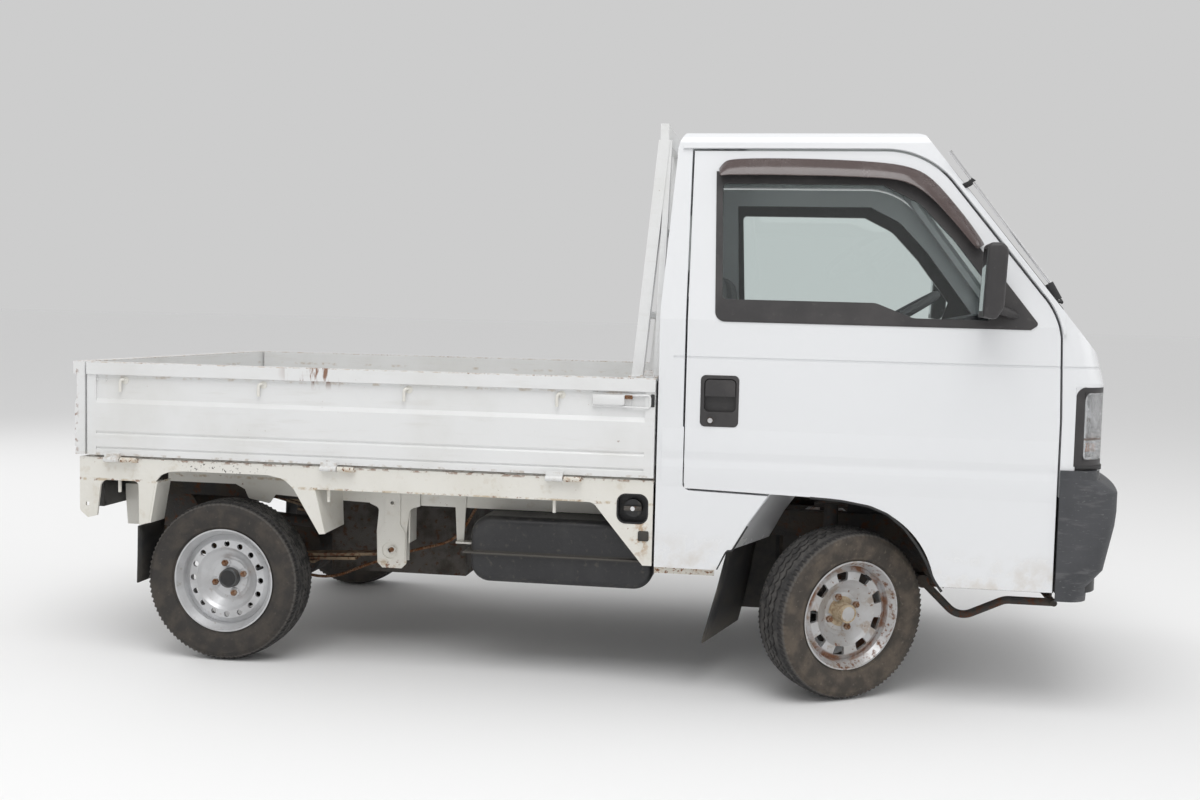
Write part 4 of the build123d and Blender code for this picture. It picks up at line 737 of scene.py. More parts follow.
def tyre_columns():
    """The tyre's section from one bead to the other."""
    half = []
    for x, groove, notch, zigzag in TREAD:
        half.append((x, tread_radius(x) - groove * GROOVE_DEPTH, notch, zigzag))
    columns = [(x, r, notch, 0) for x, r, notch in SIDEWALL]
    columns += half
    columns += [(-x, r, notch, zigzag) for x, r, notch, zigzag in reversed(half)]
    columns += [(-x, r, 0, 0) for x, r, notch in reversed(SIDEWALL)]
    return columns


def tyre_mesh(name):
    columns = tyre_columns()
    rows = [(pitch, *step) for pitch in range(TREAD_PITCHES) for step in TREAD_STEPS]
    points = []
    for pitch, fraction, cut in rows:
        angle = 2 * pi * (pitch + fraction) / TREAD_PITCHES
        zigzag = ZIGZAG * (4 * abs(fraction - 0.5) - 1)
        for x, r, notch, share in columns:
            depth = r - NOTCH_DEPTH * notch * cut
            points.append((x + zigzag * share, depth * cos(angle), depth * sin(angle)))
    faces = grid_faces(len(rows), len(columns), closed=True)
    return new_mesh(name, points, faces, TREAD_SHARP_DEG)


def wheel_rubber(name, dust):
    """Tread dark, sidewalls dusty; the wheel's axle is local X."""
    f = Finish(name, (0.022, 0.021, 0.021), 0.7)
    radius = f.vector("LENGTH", f.vector("MULTIPLY", f.place, (0, 1, 1)), output="Value")
    wall = f.ramp(radius, 245.5 * MM, 242.5 * MM)
    f.layer(wall, (0.056, 0.048, 0.041), 0.88, dust)
    f.layer(f.both(wall, f.noise(16, 0.40, 0.66)), (0.115, 0.094, 0.074), 0.95, dust)
    f.layer(f.both(wall, f.noise(70, 0.60, 0.70)), (0.17, 0.145, 0.115), 0.95, dust * 0.6)
    worn = f.both(f.ramp(radius, 249.5 * MM, 254.5 * MM), f.noise(25, 0.35, 0.65))
    f.layer(worn, (0.085, 0.08, 0.075), 0.8, 0.8)
    edge = f.both(f.ramp(radius, 241 * MM, 244 * MM), f.ramp(radius, 249 * MM, 246.5 * MM))
    f.layer(edge, (0.12, 0.11, 0.10), 0.8, 0.55)
    f.bump(f.noise(300, 0.4, 0.7), 0.15)
    return f.done()


MATERIALS["front_tyre"] = wheel_rubber("front_tyre", 1.0)
MATERIALS["rear_tyre"] = wheel_rubber("rear_tyre", 0.35)

NUTS = 4
NUT_CIRCLE = 50
NUT_R = 10.5
NUT_CHAMFER = 2
NUT_TOP_SHARE = 0.82
HUB_FACE = 3
NUT_SEAT = HUB_FACE + 4
NUT_END = HUB_FACE + 15
STUD_END = HUB_FACE + 20

# Turned parts, as distances along the axle and radii
BOSS = ((HUB_FACE - 1, 17), (HUB_FACE + 3, 14.5), (NUT_SEAT, 12), (NUT_SEAT, 0))
STUD = ((NUT_END - 1, 5.5), (STUD_END - 1, 5.5), (STUD_END, 4.5), (STUD_END, 0))
HUBS = {  # name, profile, finish
    "front": (
        (
            "hub_cap",
            ((2, 35), (10, 32), (14, 30), (38, 28.6), (40.8, 27), (41.2, 23), (39.6, 21.5), (39.6, 0)),
            "hub_beige",
        ),
        ("hub_face", ((HUB_FACE + 0.6, 24), (HUB_FACE + 0.6, 46)), "hub_beige"),
    ),
    "rear": (
        (
            "hub_ring",
            ((2, 33), (14, 31.5), (22, 30.6), (23, 29.6), (23, 26.5), (21.5, 25.6), (21, 25)),
            "hub_dark",
        ),
        ("hub_bore", ((21, 25.5), (21, 0)), "seal_rubber"),
    ),
}

VALVE_DEG = {"front": 60, "rear": 20}
VALVE_FOOT = (24, 127)  # along the axle, away from it
VALVE_TIP = (50, 122)
VALVE_R = 4.6
VALVE_CAP_R = 3.6
VALVE_CAP_SHARE = 0.22


def hexagon(radius, low, high):
    """A hexagonal nut's points and faces, along local X."""
    points = []
    for x, r in ((low, radius), (high - NUT_CHAMFER, radius), (high, radius * NUT_TOP_SHARE)):
        points += [(x, r * cos(pi * k / 3), r * sin(pi * k / 3)) for k in range(6)]
    return points, ring_faces(6) + ring_faces(6, 6) + [tuple(range(12, 18))]


def make_nuts(name, body, matrix, phase):
    """Four nuts on studs, each on a round boss of the rim."""
    front = name.startswith("front")
    rim_finish = "wheel_worn" if front else "wheel_silver"
    nut_points, nut_faces = hexagon(NUT_R, NUT_SEAT, NUT_END)
    for index in range(NUTS):
        angle = radians(phase + 360 / NUTS * index)
        place = Vector((0, NUT_CIRCLE * cos(angle), NUT_CIRCLE * sin(angle))) * MM
        at_nut = matrix @ Matrix.Translation(place)
        nut_finish = "nut_brown" if front or index in (0, 3) else "rusty_metal"
        lathe(f"{name}_boss_{index}", BOSS, rim_finish, body, at_nut, 24)
        nut = new_mesh(f"{name}_nut_{index}", nut_points, nut_faces)
        add_piece(nut.name, nut, nut_finish, body, at_nut)
        lathe(f"{name}_stud_{index}", STUD, "rusty_metal", body, at_nut, 16)


def make_valve(name, body, matrix, end):
    angle = radians(VALVE_DEG[end])
    outward = Vector((0, cos(angle), sin(angle)))
    foot, tip = (outward * away + Vector((along, 0, 0)) for along, away in (VALVE_FOOT, VALVE_TIP))
    cap = (tip, tip + (tip - foot) * VALVE_CAP_SHARE)
    rod(f"{name}_valve", (foot, tip), VALVE_R, "seal_rubber", body, matrix=matrix)
    rod(f"{name}_valve_cap", cap, VALVE_CAP_R, "seal_rubber", body, matrix=matrix)


def make_wheels():
    for name, side, phase in WHEELS:
        end = name.split("_")[0]
        body = name + "_wheel"
        matrix = wheel_matrix(name, side)
        tyre = tyre_mesh(f"{name}_treaded_tyre")
        piece = add_piece(tyre.name, tyre, f"{end}_tyre", body, matrix)
        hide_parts(name + "_tyre")
        make_nuts(name, body, matrix, phase)
        for part, profile, finish in HUBS[end]:
            lathe(f"{name}_{part}", profile, finish, body, matrix)
        make_valve(name, body, matrix, end)


# Doors and cab sides

VISOR_ROWS = (  # upper edge x, z, lower edge x, z
    (404, 1568, 408, 1543),
    (418, 1588, 424, 1545),
    (440, 1598, 446, 1546),
    (638, 1599, 640, 1546),
    (869, 1590, 870, 1541),
    (957, 1576, 941, 1532),
    (1011, 1550, 994, 1503),
    (1063, 1492, 1042, 1457),
    (1120, 1423, 1099, 1391),
    (1168, 1353, 1144, 1337),
)
VISOR_SHARES = (0, 0.12, 0.35, 0.6, 0.85, 1)
VISOR_LIFT = 4
VISOR_FLARE = 30
VISOR_WALL = 2.6


def make_visor(side, name):
    """A smoked strip over the door's window, held at its upper edge and flared at the lower one."""
    rows = []
    for upper_x, upper_z, lower_x, lower_z in VISOR_ROWS:
        row = []
        for share in VISOR_SHARES:
            x = upper_x + (lower_x - upper_x) * share
            z = upper_z + (lower_z - upper_z) * share
            lift = VISOR_LIFT + VISOR_FLARE * sin(share * pi / 2)
            row.append((x, side * (skin_y(z) + lift), z))
        rows.append(row)
    sheet(f"{name}_visor", rows, VISOR_WALL, "visor_tint", f"{name}_door", finer=2)


DOOR_ARCH = (  # x, z
    (1084, 352), (1061, 385), (1040, 432), (1012, 480), (973, 530), (925, 569), (872, 590),
    (790, 603), (700, 608),
)
CAB_ARCH = ((521, 515), (478, 439), (461, 437), (434, 382))
DOOR_LIP_R = 4.2
CAB_LIP_R = 2.6
LIP_INSET = 2


def make_arch_lips(side, name):
    y = CAB_HALF_WIDTH - LIP_INSET
    door_lip = on_side([(x, y, z) for x, z in DOOR_ARCH], side)
    cab_lip = on_side([(x, y, z) for x, z in CAB_ARCH], side)
    rod(f"{name}_door_arch_lip", door_lip, DOOR_LIP_R, "seal_rubber", f"{name}_door", 12)
    rod(f"{name}_cab_arch_lip", cab_lip, CAB_LIP_R, "seal_rubber", bend=6)


LINER_ROWS = (  # x, z
    (1096, 350), (1075, 388), (1054, 436), (1024, 487), (984, 540), (934, 580), (878, 602),
    (792, 616), (690, 620),
)
LINER_Y = (626, 596, 385)
LINER_WALL = 3


def make_liner(side, name):
    """The dark lining of the front wheel arch, over the front half of the wheel."""
    rows = [[(x, side * y, z) for y in LINER_Y] for x, z in LINER_ROWS]
    sheet(f"{name}_arch_liner", rows, LINER_WALL, "liner_plastic")


MIRROR_ROWS = ((1150.4, 1162), (1157.6, 1336))  # x, z of the face that looks back
MIRROR_Y = (738, 812)
MIRROR_GLASS_X = (-0.8, 1)


def make_mirror_glass(side, name):
    """The mirror's glass, on the face that looks back."""
    points = [
        (x + ahead, side * y, z)
        for x, z in MIRROR_ROWS
        for y in MIRROR_Y
        for ahead in MIRROR_GLASS_X
    ]
    faces = [(0, 2, 6, 4), (1, 3, 7, 5), (0, 1, 3, 2), (4, 5, 7, 6), (0, 1, 5, 4), (2, 3, 7, 6)]
    mesh = new_mesh(f"{name}_mirror_glass", points, faces)
    change_mesh(mesh, lambda shape: bmesh.ops.recalc_face_normals(shape, faces=shape.faces))
    add_piece(mesh.name, mesh, "mirror_glass", f"{name}_door")


# Windscreen and wipers

SCREEN_X = 1276
SCREEN_Z = 1380
SCREEN_SLOPE_DEG = 51.1
SCREEN_SAG = 48
SCREEN_HALF_WIDTH = 710


def screen_point(y, down, out):
    """A point over the windscreen: across, down its slope and out from it, in millimetres."""
    slope = radians(SCREEN_SLOPE_DEG)
    away = out - SCREEN_SAG * (y / SCREEN_HALF_WIDTH) ** 2
    x = SCREEN_X + down * cos(slope) + away * sin(slope)
    return (x, y, SCREEN_Z - down * sin(slope) + away * cos(slope))


WIPERS = (  # pivot across, blade's ends across
    (-90, -575, -105),
    (330, -60, 400),
)
PIVOT_DOWN = 268
PIVOT_OUT = (6, 24)
PIVOT_R = 12
ARM_R = 4.5
BLADE_R = 4
FRAME_R = 3
ARM_BENDS = ((0, 268, 16), (-60, 258, 24))  # across from the pivot, down, out
ARM_END_DOWN = 226
ARM_END_OUT = 26
BLADE_DOWN = 224
BLADE_OUT = 12
FRAME_OUT = 14
FRAME_BOW = 10
BLADE_STEPS = 8


def make_wipers():
    for index, (pivot_y, blade_start, blade_end) in enumerate(WIPERS):
        arm = [screen_point(pivot_y + across, down, out) for across, down, out in ARM_BENDS]
        arm.append(screen_point((blade_start + blade_end) / 2, ARM_END_DOWN, ARM_END_OUT))
        rod(f"wiper_arm_{index}", arm, ARM_R, "seal_rubber", bend=20)
        pivot = [screen_point(pivot_y, PIVOT_DOWN, out) for out in PIVOT_OUT]
        rod(f"wiper_pivot_{index}", pivot, PIVOT_R, "seal_rubber")
        blade = []
        bow = []
        for k in range(BLADE_STEPS + 1):
            share = k / BLADE_STEPS
            y = blade_start + (blade_end - blade_start) * share
            blade.append(screen_point(y, BLADE_DOWN, BLADE_OUT))
            bow.append(screen_point(y, BLADE_DOWN, FRAME_OUT + FRAME_BOW * (1 - (2 * share - 1) ** 2)))
        rod(f"wiper_blade_{index}", blade, BLADE_R, "seal_rubber", bend=4)
        rod(f"wiper_frame_{index}", bow, FRAME_R, "seal_rubber", bend=4)


SEAL_CORNERS = ((-602, 236), (602, 236), (533, -300), (-533, -300))  # across, down
SEAL_STEPS = 10
SEAL_OUT = -3
SEAL_R = 7


def make_screen_seal():
    seal = []
    for (y_a, down_a), (y_b, down_b) in zip(SEAL_CORNERS, SEAL_CORNERS[1:] + SEAL_CORNERS[:1]):
        for k in range(SEAL_STEPS):
            y = y_a + (y_b - y_a) * k / SEAL_STEPS
            down = down_a + (down_b - down_a) * k / SEAL_STEPS
            seal.append(screen_point(y, down, SEAL_OUT))
    seal.append(seal[0])
    rod("windscreen_seal", seal, SEAL_R, "seal_rubber", bend=30)


# Bed fittings

HOOKS_X = (-1462, -1000, -531, -56)
HOOK_PATH = ((13, 690, 888), (5, 699, 889), (0, 700, 882), (0, 700, 850))  # ahead of its place, out, z
HOOK_PLATE = ((13, 688, 886), (13, 693, 886))
HOOK_R = 4.8
HOOK_PLATE_R = 12
PINS_X = (-1479, -779, -63)
PIN_Y = 670
PIN_Z = (570, 526)
PIN_R = 5.5
LATCH_BAIL = ((140, 700, 890), (225, 700, 893), (225, 700, 854), (140, 700, 857))
BAIL_R = 3.2


def make_gate_fittings(side, name):
    """Rope hooks and the latch's bail on a side gate, and the rope pins under the side beam."""
    gate = f"{name}_gate"
    for index, place_x in enumerate(HOOKS_X):
        path = [(place_x + x, side * y, z) for x, y, z in HOOK_PATH]
        plate = [(place_x + x, side * y, z) for x, y, z in HOOK_PLATE]
        rod(f"{name}_hook_{index}", path, HOOK_R, "beam_paint", gate, 7)
        rod(f"{name}_hook_plate_{index}", plate, HOOK_PLATE_R, "beam_paint", gate)
    rod(f"{name}_latch_bail", on_side(LATCH_BAIL, side), BAIL_R, "bed_paint", gate, 12)
    for index, x in enumerate(PINS_X):
        pin = [(x, side * PIN_Y, z) for z in PIN_Z]
        rod(f"{name}_beam_pin_{index}", pin, PIN_R, "beam_paint")


# Headlamps
# The nose in plan: a shallow curve across the front, with a round corner at each side.

NOSE_X = 1577
NOSE_SAG = 72
NOSE_CORNER = 110
NOSE_CORNER_Y = CAB_HALF_WIDTH - NOSE_CORNER
CORNER_STEPS = 12
FRONT_STEPS = 8
LAMP_INNER_Y = 441
LAMP_REAR_X = 1459
LAMP_BOTTOM_Z = 751
LAMP_TOP_Z = 937
LAMP_SHELF_Z = (803, 809)
PAN_PLATE = 3
PAN_DEPTH = 60
LENS_DEPTH = 22
LIP_REAR_X = 1436
LIP_Z = (718.5, 731)
LIP_OUT = 0.6
PATCH_STEPS = 8
PATCH_WALL = 2
CORNER_PATCHES = (  # name, x, z, size, way up, finish, lift
    ("lamp_corner", 1431, 955, 30, 1, "cab_paint", 0.5),
    ("lens_corner_top", 1458, 940, 20, 1, "trim_plastic", 0.3),
    ("lens_corner_low", 1458, 748, 14, -1, "trim_plastic", 0.3),
)


def nose_front_x(y):
    return NOSE_X - NOSE_SAG * (y / CAB_HALF_WIDTH) ** 2


NOSE_CORNER_X = nose_front_x(NOSE_CORNER_Y) - NOSE_CORNER


def nose_out(x, lift=0.0):
    """How far from the middle the nose's corner lies at a place along the truck."""
    radius = NOSE_CORNER + lift
    ahead = max(0.0, x - NOSE_CORNER_X)
    return NOSE_CORNER_Y + sqrt(max(0.0, radius * radius - ahead * ahead))


def nose_curve(depth):
    """The lamp's part of the nose in plan, from the side to the front, moved inwards by a depth."""
    radius = NOSE_CORNER - depth
    first = acos((LAMP_REAR_X - NOSE_CORNER_X) / radius)
    plan = []
    for step in range(CORNER_STEPS + 1):
        angle = first * (1 - step / CORNER_STEPS)
        plan.append((NOSE_CORNER_X + radius * cos(angle), NOSE_CORNER_Y + radius * sin(angle)))
    for step in range(1, FRONT_STEPS + 1):
        y = NOSE_CORNER_Y + (LAMP_INNER_Y - NOSE_CORNER_Y) * step / FRONT_STEPS
        plan.append((nose_front_x(y) - depth, y))
    return plan


def corner_patch(name, x, z, size, up, side, finish, lift):
    """Fills a square corner of the lamp's opening, so that it looks round."""
    rows = []
    for k in range(PATCH_STEPS + 1):
        angle = radians(90 * k / PATCH_STEPS)
        inner_x = x + size - size * cos(angle)
        inner_z = z - up * (size - size * sin(angle))
        rows.append([(edge_x, side * nose_out(edge_x, lift), inner_z) for edge_x in (x, inner_x)])
    sheet(name, rows, PATCH_WALL, finish)


def make_lamp_surround(side, name):
    """Rounds the lamp's corners and puts a dark lip between the lamp and the bumper."""
    for part, x, z, size, up, finish, lift in CORNER_PATCHES:
        corner_patch(f"{name}_{part}", x, z, size, up, side, finish, lift)
    plan = [(LIP_REAR_X, nose_out(LIP_REAR_X, LIP_OUT))] + nose_curve(-LIP_OUT)
    points = [(x, side * y, z) for x, y in plan for z in LIP_Z]
    faces = [(2 * k, 2 * k + 2, 2 * k + 3, 2 * k + 1) for k in range(len(plan) - 1)]
    mesh = new_mesh(f"{name}_lamp_lip", points, faces)
    thicken(add_piece(mesh.name, mesh, "seal_rubber"), PATCH_WALL)


def lamp_sheet(name, inner, outer, low_z, high_z, side, finish):
    """A plate between two plan curves with the same number of points."""
    outline = inner + outer[::-1]
    count = len(outline)
    points = [(x, side * y, z) for z in (low_z, high_z) for x, y in outline]
    faces = []
    for k in range(len(inner) - 1):
        quad = (k, k + 1, count - 2 - k, count - 1 - k)
        faces.append(quad)
        faces.append(tuple(count + index for index in reversed(quad)))
    faces += ring_faces(count)
    add_piece(name, new_mesh(name, points, faces), finish)


def make_lamps():
    """A bright pan behind each clear lens, with a shelf between the lamp and the turn bulb."""
    back = nose_curve(PAN_DEPTH)
    front = nose_curve(PAN_DEPTH - PAN_PLATE)
    glass = nose_curve(LENS_DEPTH)
    low, high = LAMP_BOTTOM_Z, LAMP_TOP_Z
    sheets = (  # name, inner curve, outer curve, heights, finish
        ("lamp_pan", back, front, (low, high), "lamp_pan"),
        ("lamp_floor", front, glass, (low, low + PAN_PLATE), "lamp_pan"),
        ("lamp_shelf", front, glass, LAMP_SHELF_Z, "rusty_metal"),
        ("lamp_top", front, glass, (high - PAN_PLATE, high), "lamp_pan"),
    )
    for name, side in SIDES:
        for part, inner, outer, heights, finish in sheets:
            lamp_sheet(f"{name}_{part}", inner, outer, *heights, side, finish)


# Sheet details

CREASE_ROWS = (  # how far out, height
    (-0.4, 803), (1.2, 786), (4.0, 750), (4.6, 734), (4.4, 728), (0.6, 712), (0.3, 707), (1.0, 701),
    (4.2, 687), (4.4, 679), (3.4, 660), (-0.4, 620),
)
CREASE_BACK = 0.6
CREASE_SHARP_DEG = 50
DOOR_CREASE_X = (331, 1388.5)
PILLAR_CREASE_X = (262, 326)


def crease(name, ends_x, body, side):
    """The soft fold that runs along the lower door, as a thin skin over the flat panel."""
    section = [(CAB_HALF_WIDTH + out, z) for out, z in CREASE_ROWS]
    section += [(CAB_HALF_WIDTH - CREASE_BACK, z) for out, z in reversed(CREASE_ROWS[1:-1])]
    points = [(x, side * y, z) for x in ends_x for y, z in section]
    count = len(section)
    faces = ring_faces(count) + [tuple(reversed(range(count))), tuple(range(count, 2 * count))]
    add_piece(name, new_mesh(name, points, faces, CREASE_SHARP_DEG), "cab_paint", body)


def make_creases(side, name):
    crease(f"{name}_door_crease", DOOR_CREASE_X, f"{name}_door", side)
    crease(f"{name}_pillar_crease", PILLAR_CREASE_X, "chassis", side)


LOCK_SHARE_X = 0.27
LOCK_SHARE_Z = 0.12
LOCK_Y = 693


def make_door_lock(side, name):
    low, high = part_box(f"{name}_door_handle")
    x = (low.x + (high.x - low.x) * LOCK_SHARE_X) / MM
    z = (low.z + (high.z - low.z) * LOCK_SHARE_Z) / MM
    for part, end_y, radius, finish in (
        ("lock_ring", LOCK_Y + 3.5, 10.5, "cast_metal"),
        ("lock_face", LOCK_Y + 4.5, 7.5, "worn_chrome"),
    ):
        points = on_side(((x, LOCK_Y, z), (x, end_y, z)), side)
        rod(f"{name}_{part}", points, radius, finish, f"{name}_door")


MIRROR_ROUND = 22
MIRROR_ROUND_OVER_DEG = 40


def round_mirrors():
    for name, side in SIDES:
        soft = nodes[f"{name}_mirror"].modifiers.new("soft", "BEVEL")
        soft.width = MIRROR_ROUND * MM
        soft.segments = 5
        soft.limit_method = "ANGLE"
        soft.angle_limit = radians(MIRROR_ROUND_OVER_DEG)


# Mud flaps, each one sheet

FRONT_FLAP = (  # outer x, z, outer y, slant
    (466, 436, 636, 76), (453, 377, 652, 77), (440, 318, 672, 82), (420, 240, 680, 87),
    (399, 157, 683, 88),
)
REAR_FLAP = ((-1405, 422, 684, 0), (-1406, 330, 684, 0), (-1408, 239, 684, 0))
# The front flaps reach inboard to y 352: their outer part is the rubber flap, their inner part a dark sheet that
# is painted shade, standing in for the shadow under the cab.
FLAP_SHEETS = (("front", FRONT_FLAP, 352), ("rear", REAR_FLAP, 516))  # name, rows, inner y
FLAP_COLUMNS = 6
FLAP_WALL = 5
FLAP_SHIFT = 3


def flap_row(x, z, outer_y, slant, inner_y, side):
    """The points across a flap at one height."""
    row = []
    for k in range(FLAP_COLUMNS):
        share = k / (FLAP_COLUMNS - 1)
        y = outer_y + (inner_y - outer_y) * share
        row.append((x - FLAP_SHIFT + slant * share, side * y, z))
    return row


def make_flaps():
    for name, side in SIDES:
        for end, rows, inner_y in FLAP_SHEETS:
            grid = [flap_row(*row, inner_y, side) for row in rows]
            sheet(f"{end}_{name}_flap", grid, FLAP_WALL, "flap_rubber")
    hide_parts("mud_flaps")


# Small parts that stand alone

LONE_BLOCKS = (  # name, low corner, high corner, finish, bevel
    ("filler_bar", (151, -684, 544), (205, -672, 558), "cast_metal", 3),
    ("filler_drain_pad", (197, -695, 456), (229, -689, 486), "flap_rubber", 4),
    ("inner_mirror", (1024, -118, 1556), (1038, 118, 1614), "seal_rubber", 5),
)
BRAKE_CABLE = (  # from the rear axle to the frame
    (-1110, -300, 236), (-912, -300, 202), (-777, -300, 262), (-612, -300, 320),
    (-469, -300, 355), (-390, -318, 484),
)
LONE_RODS = (  # name, points, radius, finish, bend
    ("antenna_rod", ((1069, -632, 1613), (1364, -655, 1232)), 4.5, "worn_chrome", 0),
    ("antenna_tip", ((1069, -632, 1613), (1064, -631.6, 1619)), 6, "worn_chrome", 0),
    ("antenna_mount", ((1104, -620, 1520), (1124, -634, 1528), (1132, -636, 1541)), 8, "seal_rubber", 6),
    ("antenna_base", ((1350, -653, 1246), (1376, -656, 1200)), 12, "seal_rubber", 0),
    ("antenna_foot", ((1340, -640, 1212), (1366, -655, 1216)), 10, "seal_rubber", 0),
    ("filler_pin", ((178, -682, 551), (178, -686, 551)), 7, "worn_chrome", 0),
    ("inner_mirror_stem", ((1036, 0, 1590), (1042, 0, 1628)), 5, "seal_rubber", 0),
    ("brake_cable", BRAKE_CABLE, 5, "rusty_metal", 70),
)


def make_lone_parts():
    for name, low, high, finish, bevel in LONE_BLOCKS:
        block(name, low, high, finish, bevel=bevel)
    for name, points, radius, finish, bend in LONE_RODS:
        rod(name, points, radius, finish, bend=bend)


# Small parts that both sides have, given for the left side

# The apron and the rail sheet are dark sheets inboard of a front wheel: painted shade, standing in for the shadow
# under the cab where there is no part.
SIDE_BLOCKS = (  # name, low corner, high corner, finish, body, bevel
    ("latch_plate", (50, 691, 853), (168, 695, 898), "bed_paint", "{}_gate", 1.5),
    ("latch_lever", (52, 694, 860), (150, 709, 892), "bed_paint", "{}_gate", 6),
    ("latch_pivot", (150, 694, 880), (172, 709, 892), "rusty_metal", "{}_gate", 1.5),
    ("gate_buffer", (226, 690, 858), (238, 701, 896), "seal_rubber", "{}_gate", 3),
    ("sill_flange", (245, 656, 357), (425, 662, 382), "hinge_paint", "chassis", 0.8),
    ("lamp_wall", (1459, 604, 752), (1463, 655, 936), "lamp_pan", "chassis", 0),
    # painted shade: these two dark sheets stand in for the shadow inboard of a front wheel
    ("painted_shade_apron", (480, 346, 200), (600, 351, 440), "flap_rubber", "chassis", 1),
    ("painted_shade_rail_sheet", (820, 346, 518), (1000, 351, 704), "flap_rubber", "chassis", 1),
)
SIDE_RODS = (  # name, ends, radius, finish, body
    ("rivet_0", ((-1542, 690, 887), (-1542, 694, 887)), 4, "bed_paint", "{}_gate"),
    ("rivet_1", ((-1515, 690, 886), (-1515, 694, 886)), 4, "bed_paint", "{}_gate"),
    ("hanger_bolt", ((-623, 514, 357), (-623, 521, 357)), 8, "rusty_metal", "chassis"),
    ("hanger_washer", ((-623, 513, 357), (-623, 517, 357)), 13, "beam_paint", "chassis"),
    ("turn_bulb", ((1464, 600, 780), (1486, 612, 780)), 13, "amber_bulb", "chassis"),
    ("lamp_socket", ((1468, 600, 880), (1486, 606, 880)), 28, "worn_chrome", "chassis"),
)


def make_side_parts(side, name):
    for label, low, high, finish, body, bevel in SIDE_BLOCKS:
        y_low, y_high = sorted((side * low[1], side * high[1]))
        corners = (low[0], y_low, low[2]), (high[0], y_high, high[2])
        block(f"{name}_{label}", *corners, finish, body.format(name), bevel)
    for label, ends, radius, finish, body in SIDE_RODS:
        rod(f"{name}_{label}", on_side(ends, side), radius, finish, body.format(name))


# Seats: a cushion and a back, each blown up as cloth and then sewn in channels

SEAT_MIDDLE = 322
SEAT_HALF_WIDTH = 228
SEAT_PADS = (  # name, outline in x and z, how far a point may swell
    ("cushion", ((463, 738), (893, 738), (912, 828), (466, 828)), 20),
    ("back", ((354, 856), (430, 856), (384, 1289), (328, 1289)), 16),
)
PAD_ROUND = 26
PAD_VOXEL = 9
PAD_PRESSURE = 4
PAD_FRAMES = 20
PAD_CHANNELS = (-118, 118)
CHANNEL_DEPTH = 6
CHANNEL_WIDTH = 9


def pad_start(name, outline):
    """The pad before it swells: a plain prism remeshed into even squares."""
    count = len(outline)
    points = [(x, y, z) for y in (-SEAT_HALF_WIDTH, SEAT_HALF_WIDTH) for x, z in outline]
    faces = [tuple(range(count)), tuple(reversed(range(count, 2 * count)))]
    faces += [((k + 1) % count, k, count + k, count + (k + 1) % count) for k in range(count)]
    shape = bpy.data.objects.new(name, new_mesh(name, points, faces))
    bpy.context.scene.collection.objects.link(shape)
    bend = shape.modifiers.new("bend", "BEVEL")
    bend.width = PAD_ROUND * MM
    bend.segments = 4
    grid = shape.modifiers.new("grid", "REMESH")
    grid.mode = "VOXEL"
    grid.voxel_size = PAD_VOXEL * MM
    return shape


def applied_mesh(shape):
    graph = bpy.context.evaluated_depsgraph_get()
    return bpy.data.meshes.new_from_object(shape.evaluated_get(graph))


def swollen(shape, limit):
    """Blow the pad up as cloth; no point moves further than the limit in millimetres."""
    start = [vertex.co.copy() for vertex in shape.data.vertices]
    cloth = shape.modifiers.new("cloth", "CLOTH")
    cloth.settings.use_pressure = True
    cloth.settings.uniform_pressure_force = PAD_PRESSURE
    cloth.settings.effector_weights.gravity = 0
    cloth.settings.quality = 5
    scene = bpy.context.scene
    for step in range(1, PAD_FRAMES + 1):
        scene.frame_set(step)
    mesh = applied_mesh(shape)
    shape.modifiers.remove(cloth)
    scene.frame_set(1)
    for vertex, before in zip(mesh.vertices, start):
        move = vertex.co - before
        if move.length > limit * MM:
            vertex.co = before + move.normalized() * limit * MM
    return mesh


def sew_channels(mesh):
    """Press two long channels into the pad's outer skin."""
    for vertex in mesh.vertices:
        pull = 0.0
        for line in PAD_CHANNELS:
            away = (vertex.co.y / MM - line) / CHANNEL_WIDTH
            pull = max(pull, CHANNEL_DEPTH * MM * exp(-away * away))
        vertex.co -= vertex.normal * pull


def make_pads():
    for name, outline, limit in SEAT_PADS:
        shape = pad_start(name, outline)
        shape.data = applied_mesh(shape)
        shape.modifiers.clear()
        mesh = swollen(shape, limit)
        sew_channels(mesh)
        mesh.polygons.foreach_set("use_smooth", [True] * len(mesh.polygons))
        bpy.data.objects.remove(shape)
        for side_name, side in SIDES:
            copy = mesh.copy()
            copy.transform(Matrix.Translation((0, side * SEAT_MIDDLE * MM, 0)))
            copy.materials.clear()
            pad = add_piece(f"{side_name}_seat_{name}", copy, "seat_cloth")
            finer = pad.modifiers.new("finer", "SUBSURF")
            finer.levels = finer.render_levels = 1
    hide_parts("seats")


SEAT_RAIL_X = (500, 880)
SEAT_RAIL_Y = (160, 190)  # from the seat's middle
SEAT_RAIL_Z = (712, 740)
SEAT_STAY = ((430, 200, 760), (392, 206, 800), (384, 206, 900))  # y from the seat's middle
SEAT_STAY_R = 11


def make_seat_metal():
    """A rail under each side of a cushion and a stay behind each side of a back."""
    for side_name, side in SIDES:
        for ending, way in (("", -1), ("_inner", 1)):
            middle = side * SEAT_MIDDLE
            y_low, y_high = sorted(middle + way * y for y in SEAT_RAIL_Y)
            rail = (SEAT_RAIL_X[0], y_low, SEAT_RAIL_Z[0]), (SEAT_RAIL_X[1], y_high, SEAT_RAIL_Z[1])
            block(f"{side_name}_seat_rail{ending}", *rail, "seal_rubber", bevel=2)
            stay = [(x, middle + way * y, z) for x, y, z in SEAT_STAY]
            rod(f"{side_name}_seat_stay{ending}", stay, SEAT_STAY_R, "seal_rubber", bend=20)


# Studio, in metres

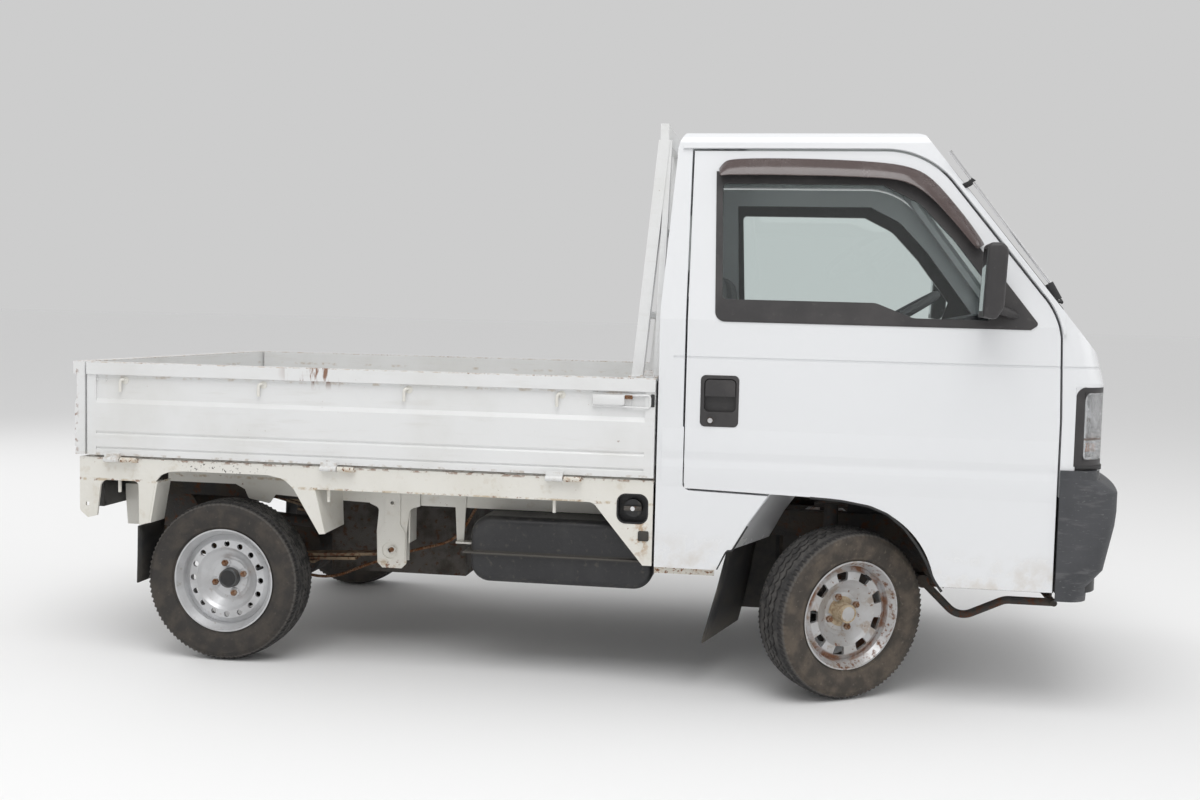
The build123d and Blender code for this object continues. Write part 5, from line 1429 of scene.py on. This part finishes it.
FLOOR_SIZE = 400
FLOOR_COLOUR = (0.86, 0.86, 0.86)
WORLD_LIGHT = 0.70
WORLD_SEEN = 0.61
LAMP_AIM = (0, 0, 0.8)
LAMPS = (  # name, place, size, watts
    ("key", (0.5, -4.0, 7.0), 5, 250),
    ("fill", (-6, 3, 5), 5, 100),
    ("front", (7, 0, 4), 4, 55),
)


def make_floor():
    bpy.ops.mesh.primitive_plane_add(size=FLOOR_SIZE)
    floor = bpy.context.object
    floor.name = "floor"
    floor.data.materials.append(Finish("floor", FLOOR_COLOUR, 0.95).done())


def make_world():
    """A white surround, a little dimmer where the camera, a mirror or glass sees it."""
    world = bpy.data.worlds.new("studio")
    bpy.context.scene.world = world
    made = Nodes(world)
    background = made.tree.nodes["Background"]
    made.put(background, "Color", (1, 1, 1, 1))
    rays = made.new("LightPath").outputs
    seen = made.math("ADD", rays["Is Camera Ray"], rays["Is Glossy Ray"])
    seen = made.math("ADD", seen, rays["Is Transmission Ray"])
    level = made.new("MapRange")
    made.put(level, "Value", seen)
    made.put(level, "To Min", WORLD_LIGHT)
    made.put(level, "To Max", WORLD_SEEN)
    made.put(background, "Strength", level.outputs[0])


def make_lights():
    for name, place, size, power in LAMPS:
        data = bpy.data.lights.new(name, "AREA")
        data.size = size
        data.energy = power
        lamp = bpy.data.objects.new(name, data)
        bpy.context.scene.collection.objects.link(lamp)
        lamp.location = place
        lamp.rotation_euler = (Vector(LAMP_AIM) - Vector(place)).to_track_quat("-Z", "Y").to_euler()


make_camera()
paint_nodes()
make_wheels()
for name, side in SIDES:
    make_visor(side, name)
    make_arch_lips(side, name)
    make_liner(side, name)
    make_mirror_glass(side, name)
    make_gate_fittings(side, name)
    make_creases(side, name)
    make_door_lock(side, name)
    make_lamp_surround(side, name)
    make_side_parts(side, name)
make_lone_parts()
make_wipers()
make_screen_seal()
make_lamps()
make_flaps()
round_mirrors()
make_pads()
make_seat_metal()
make_floor()
make_world()
make_lights()
bpy.context.scene.view_settings.view_transform = "Standard"
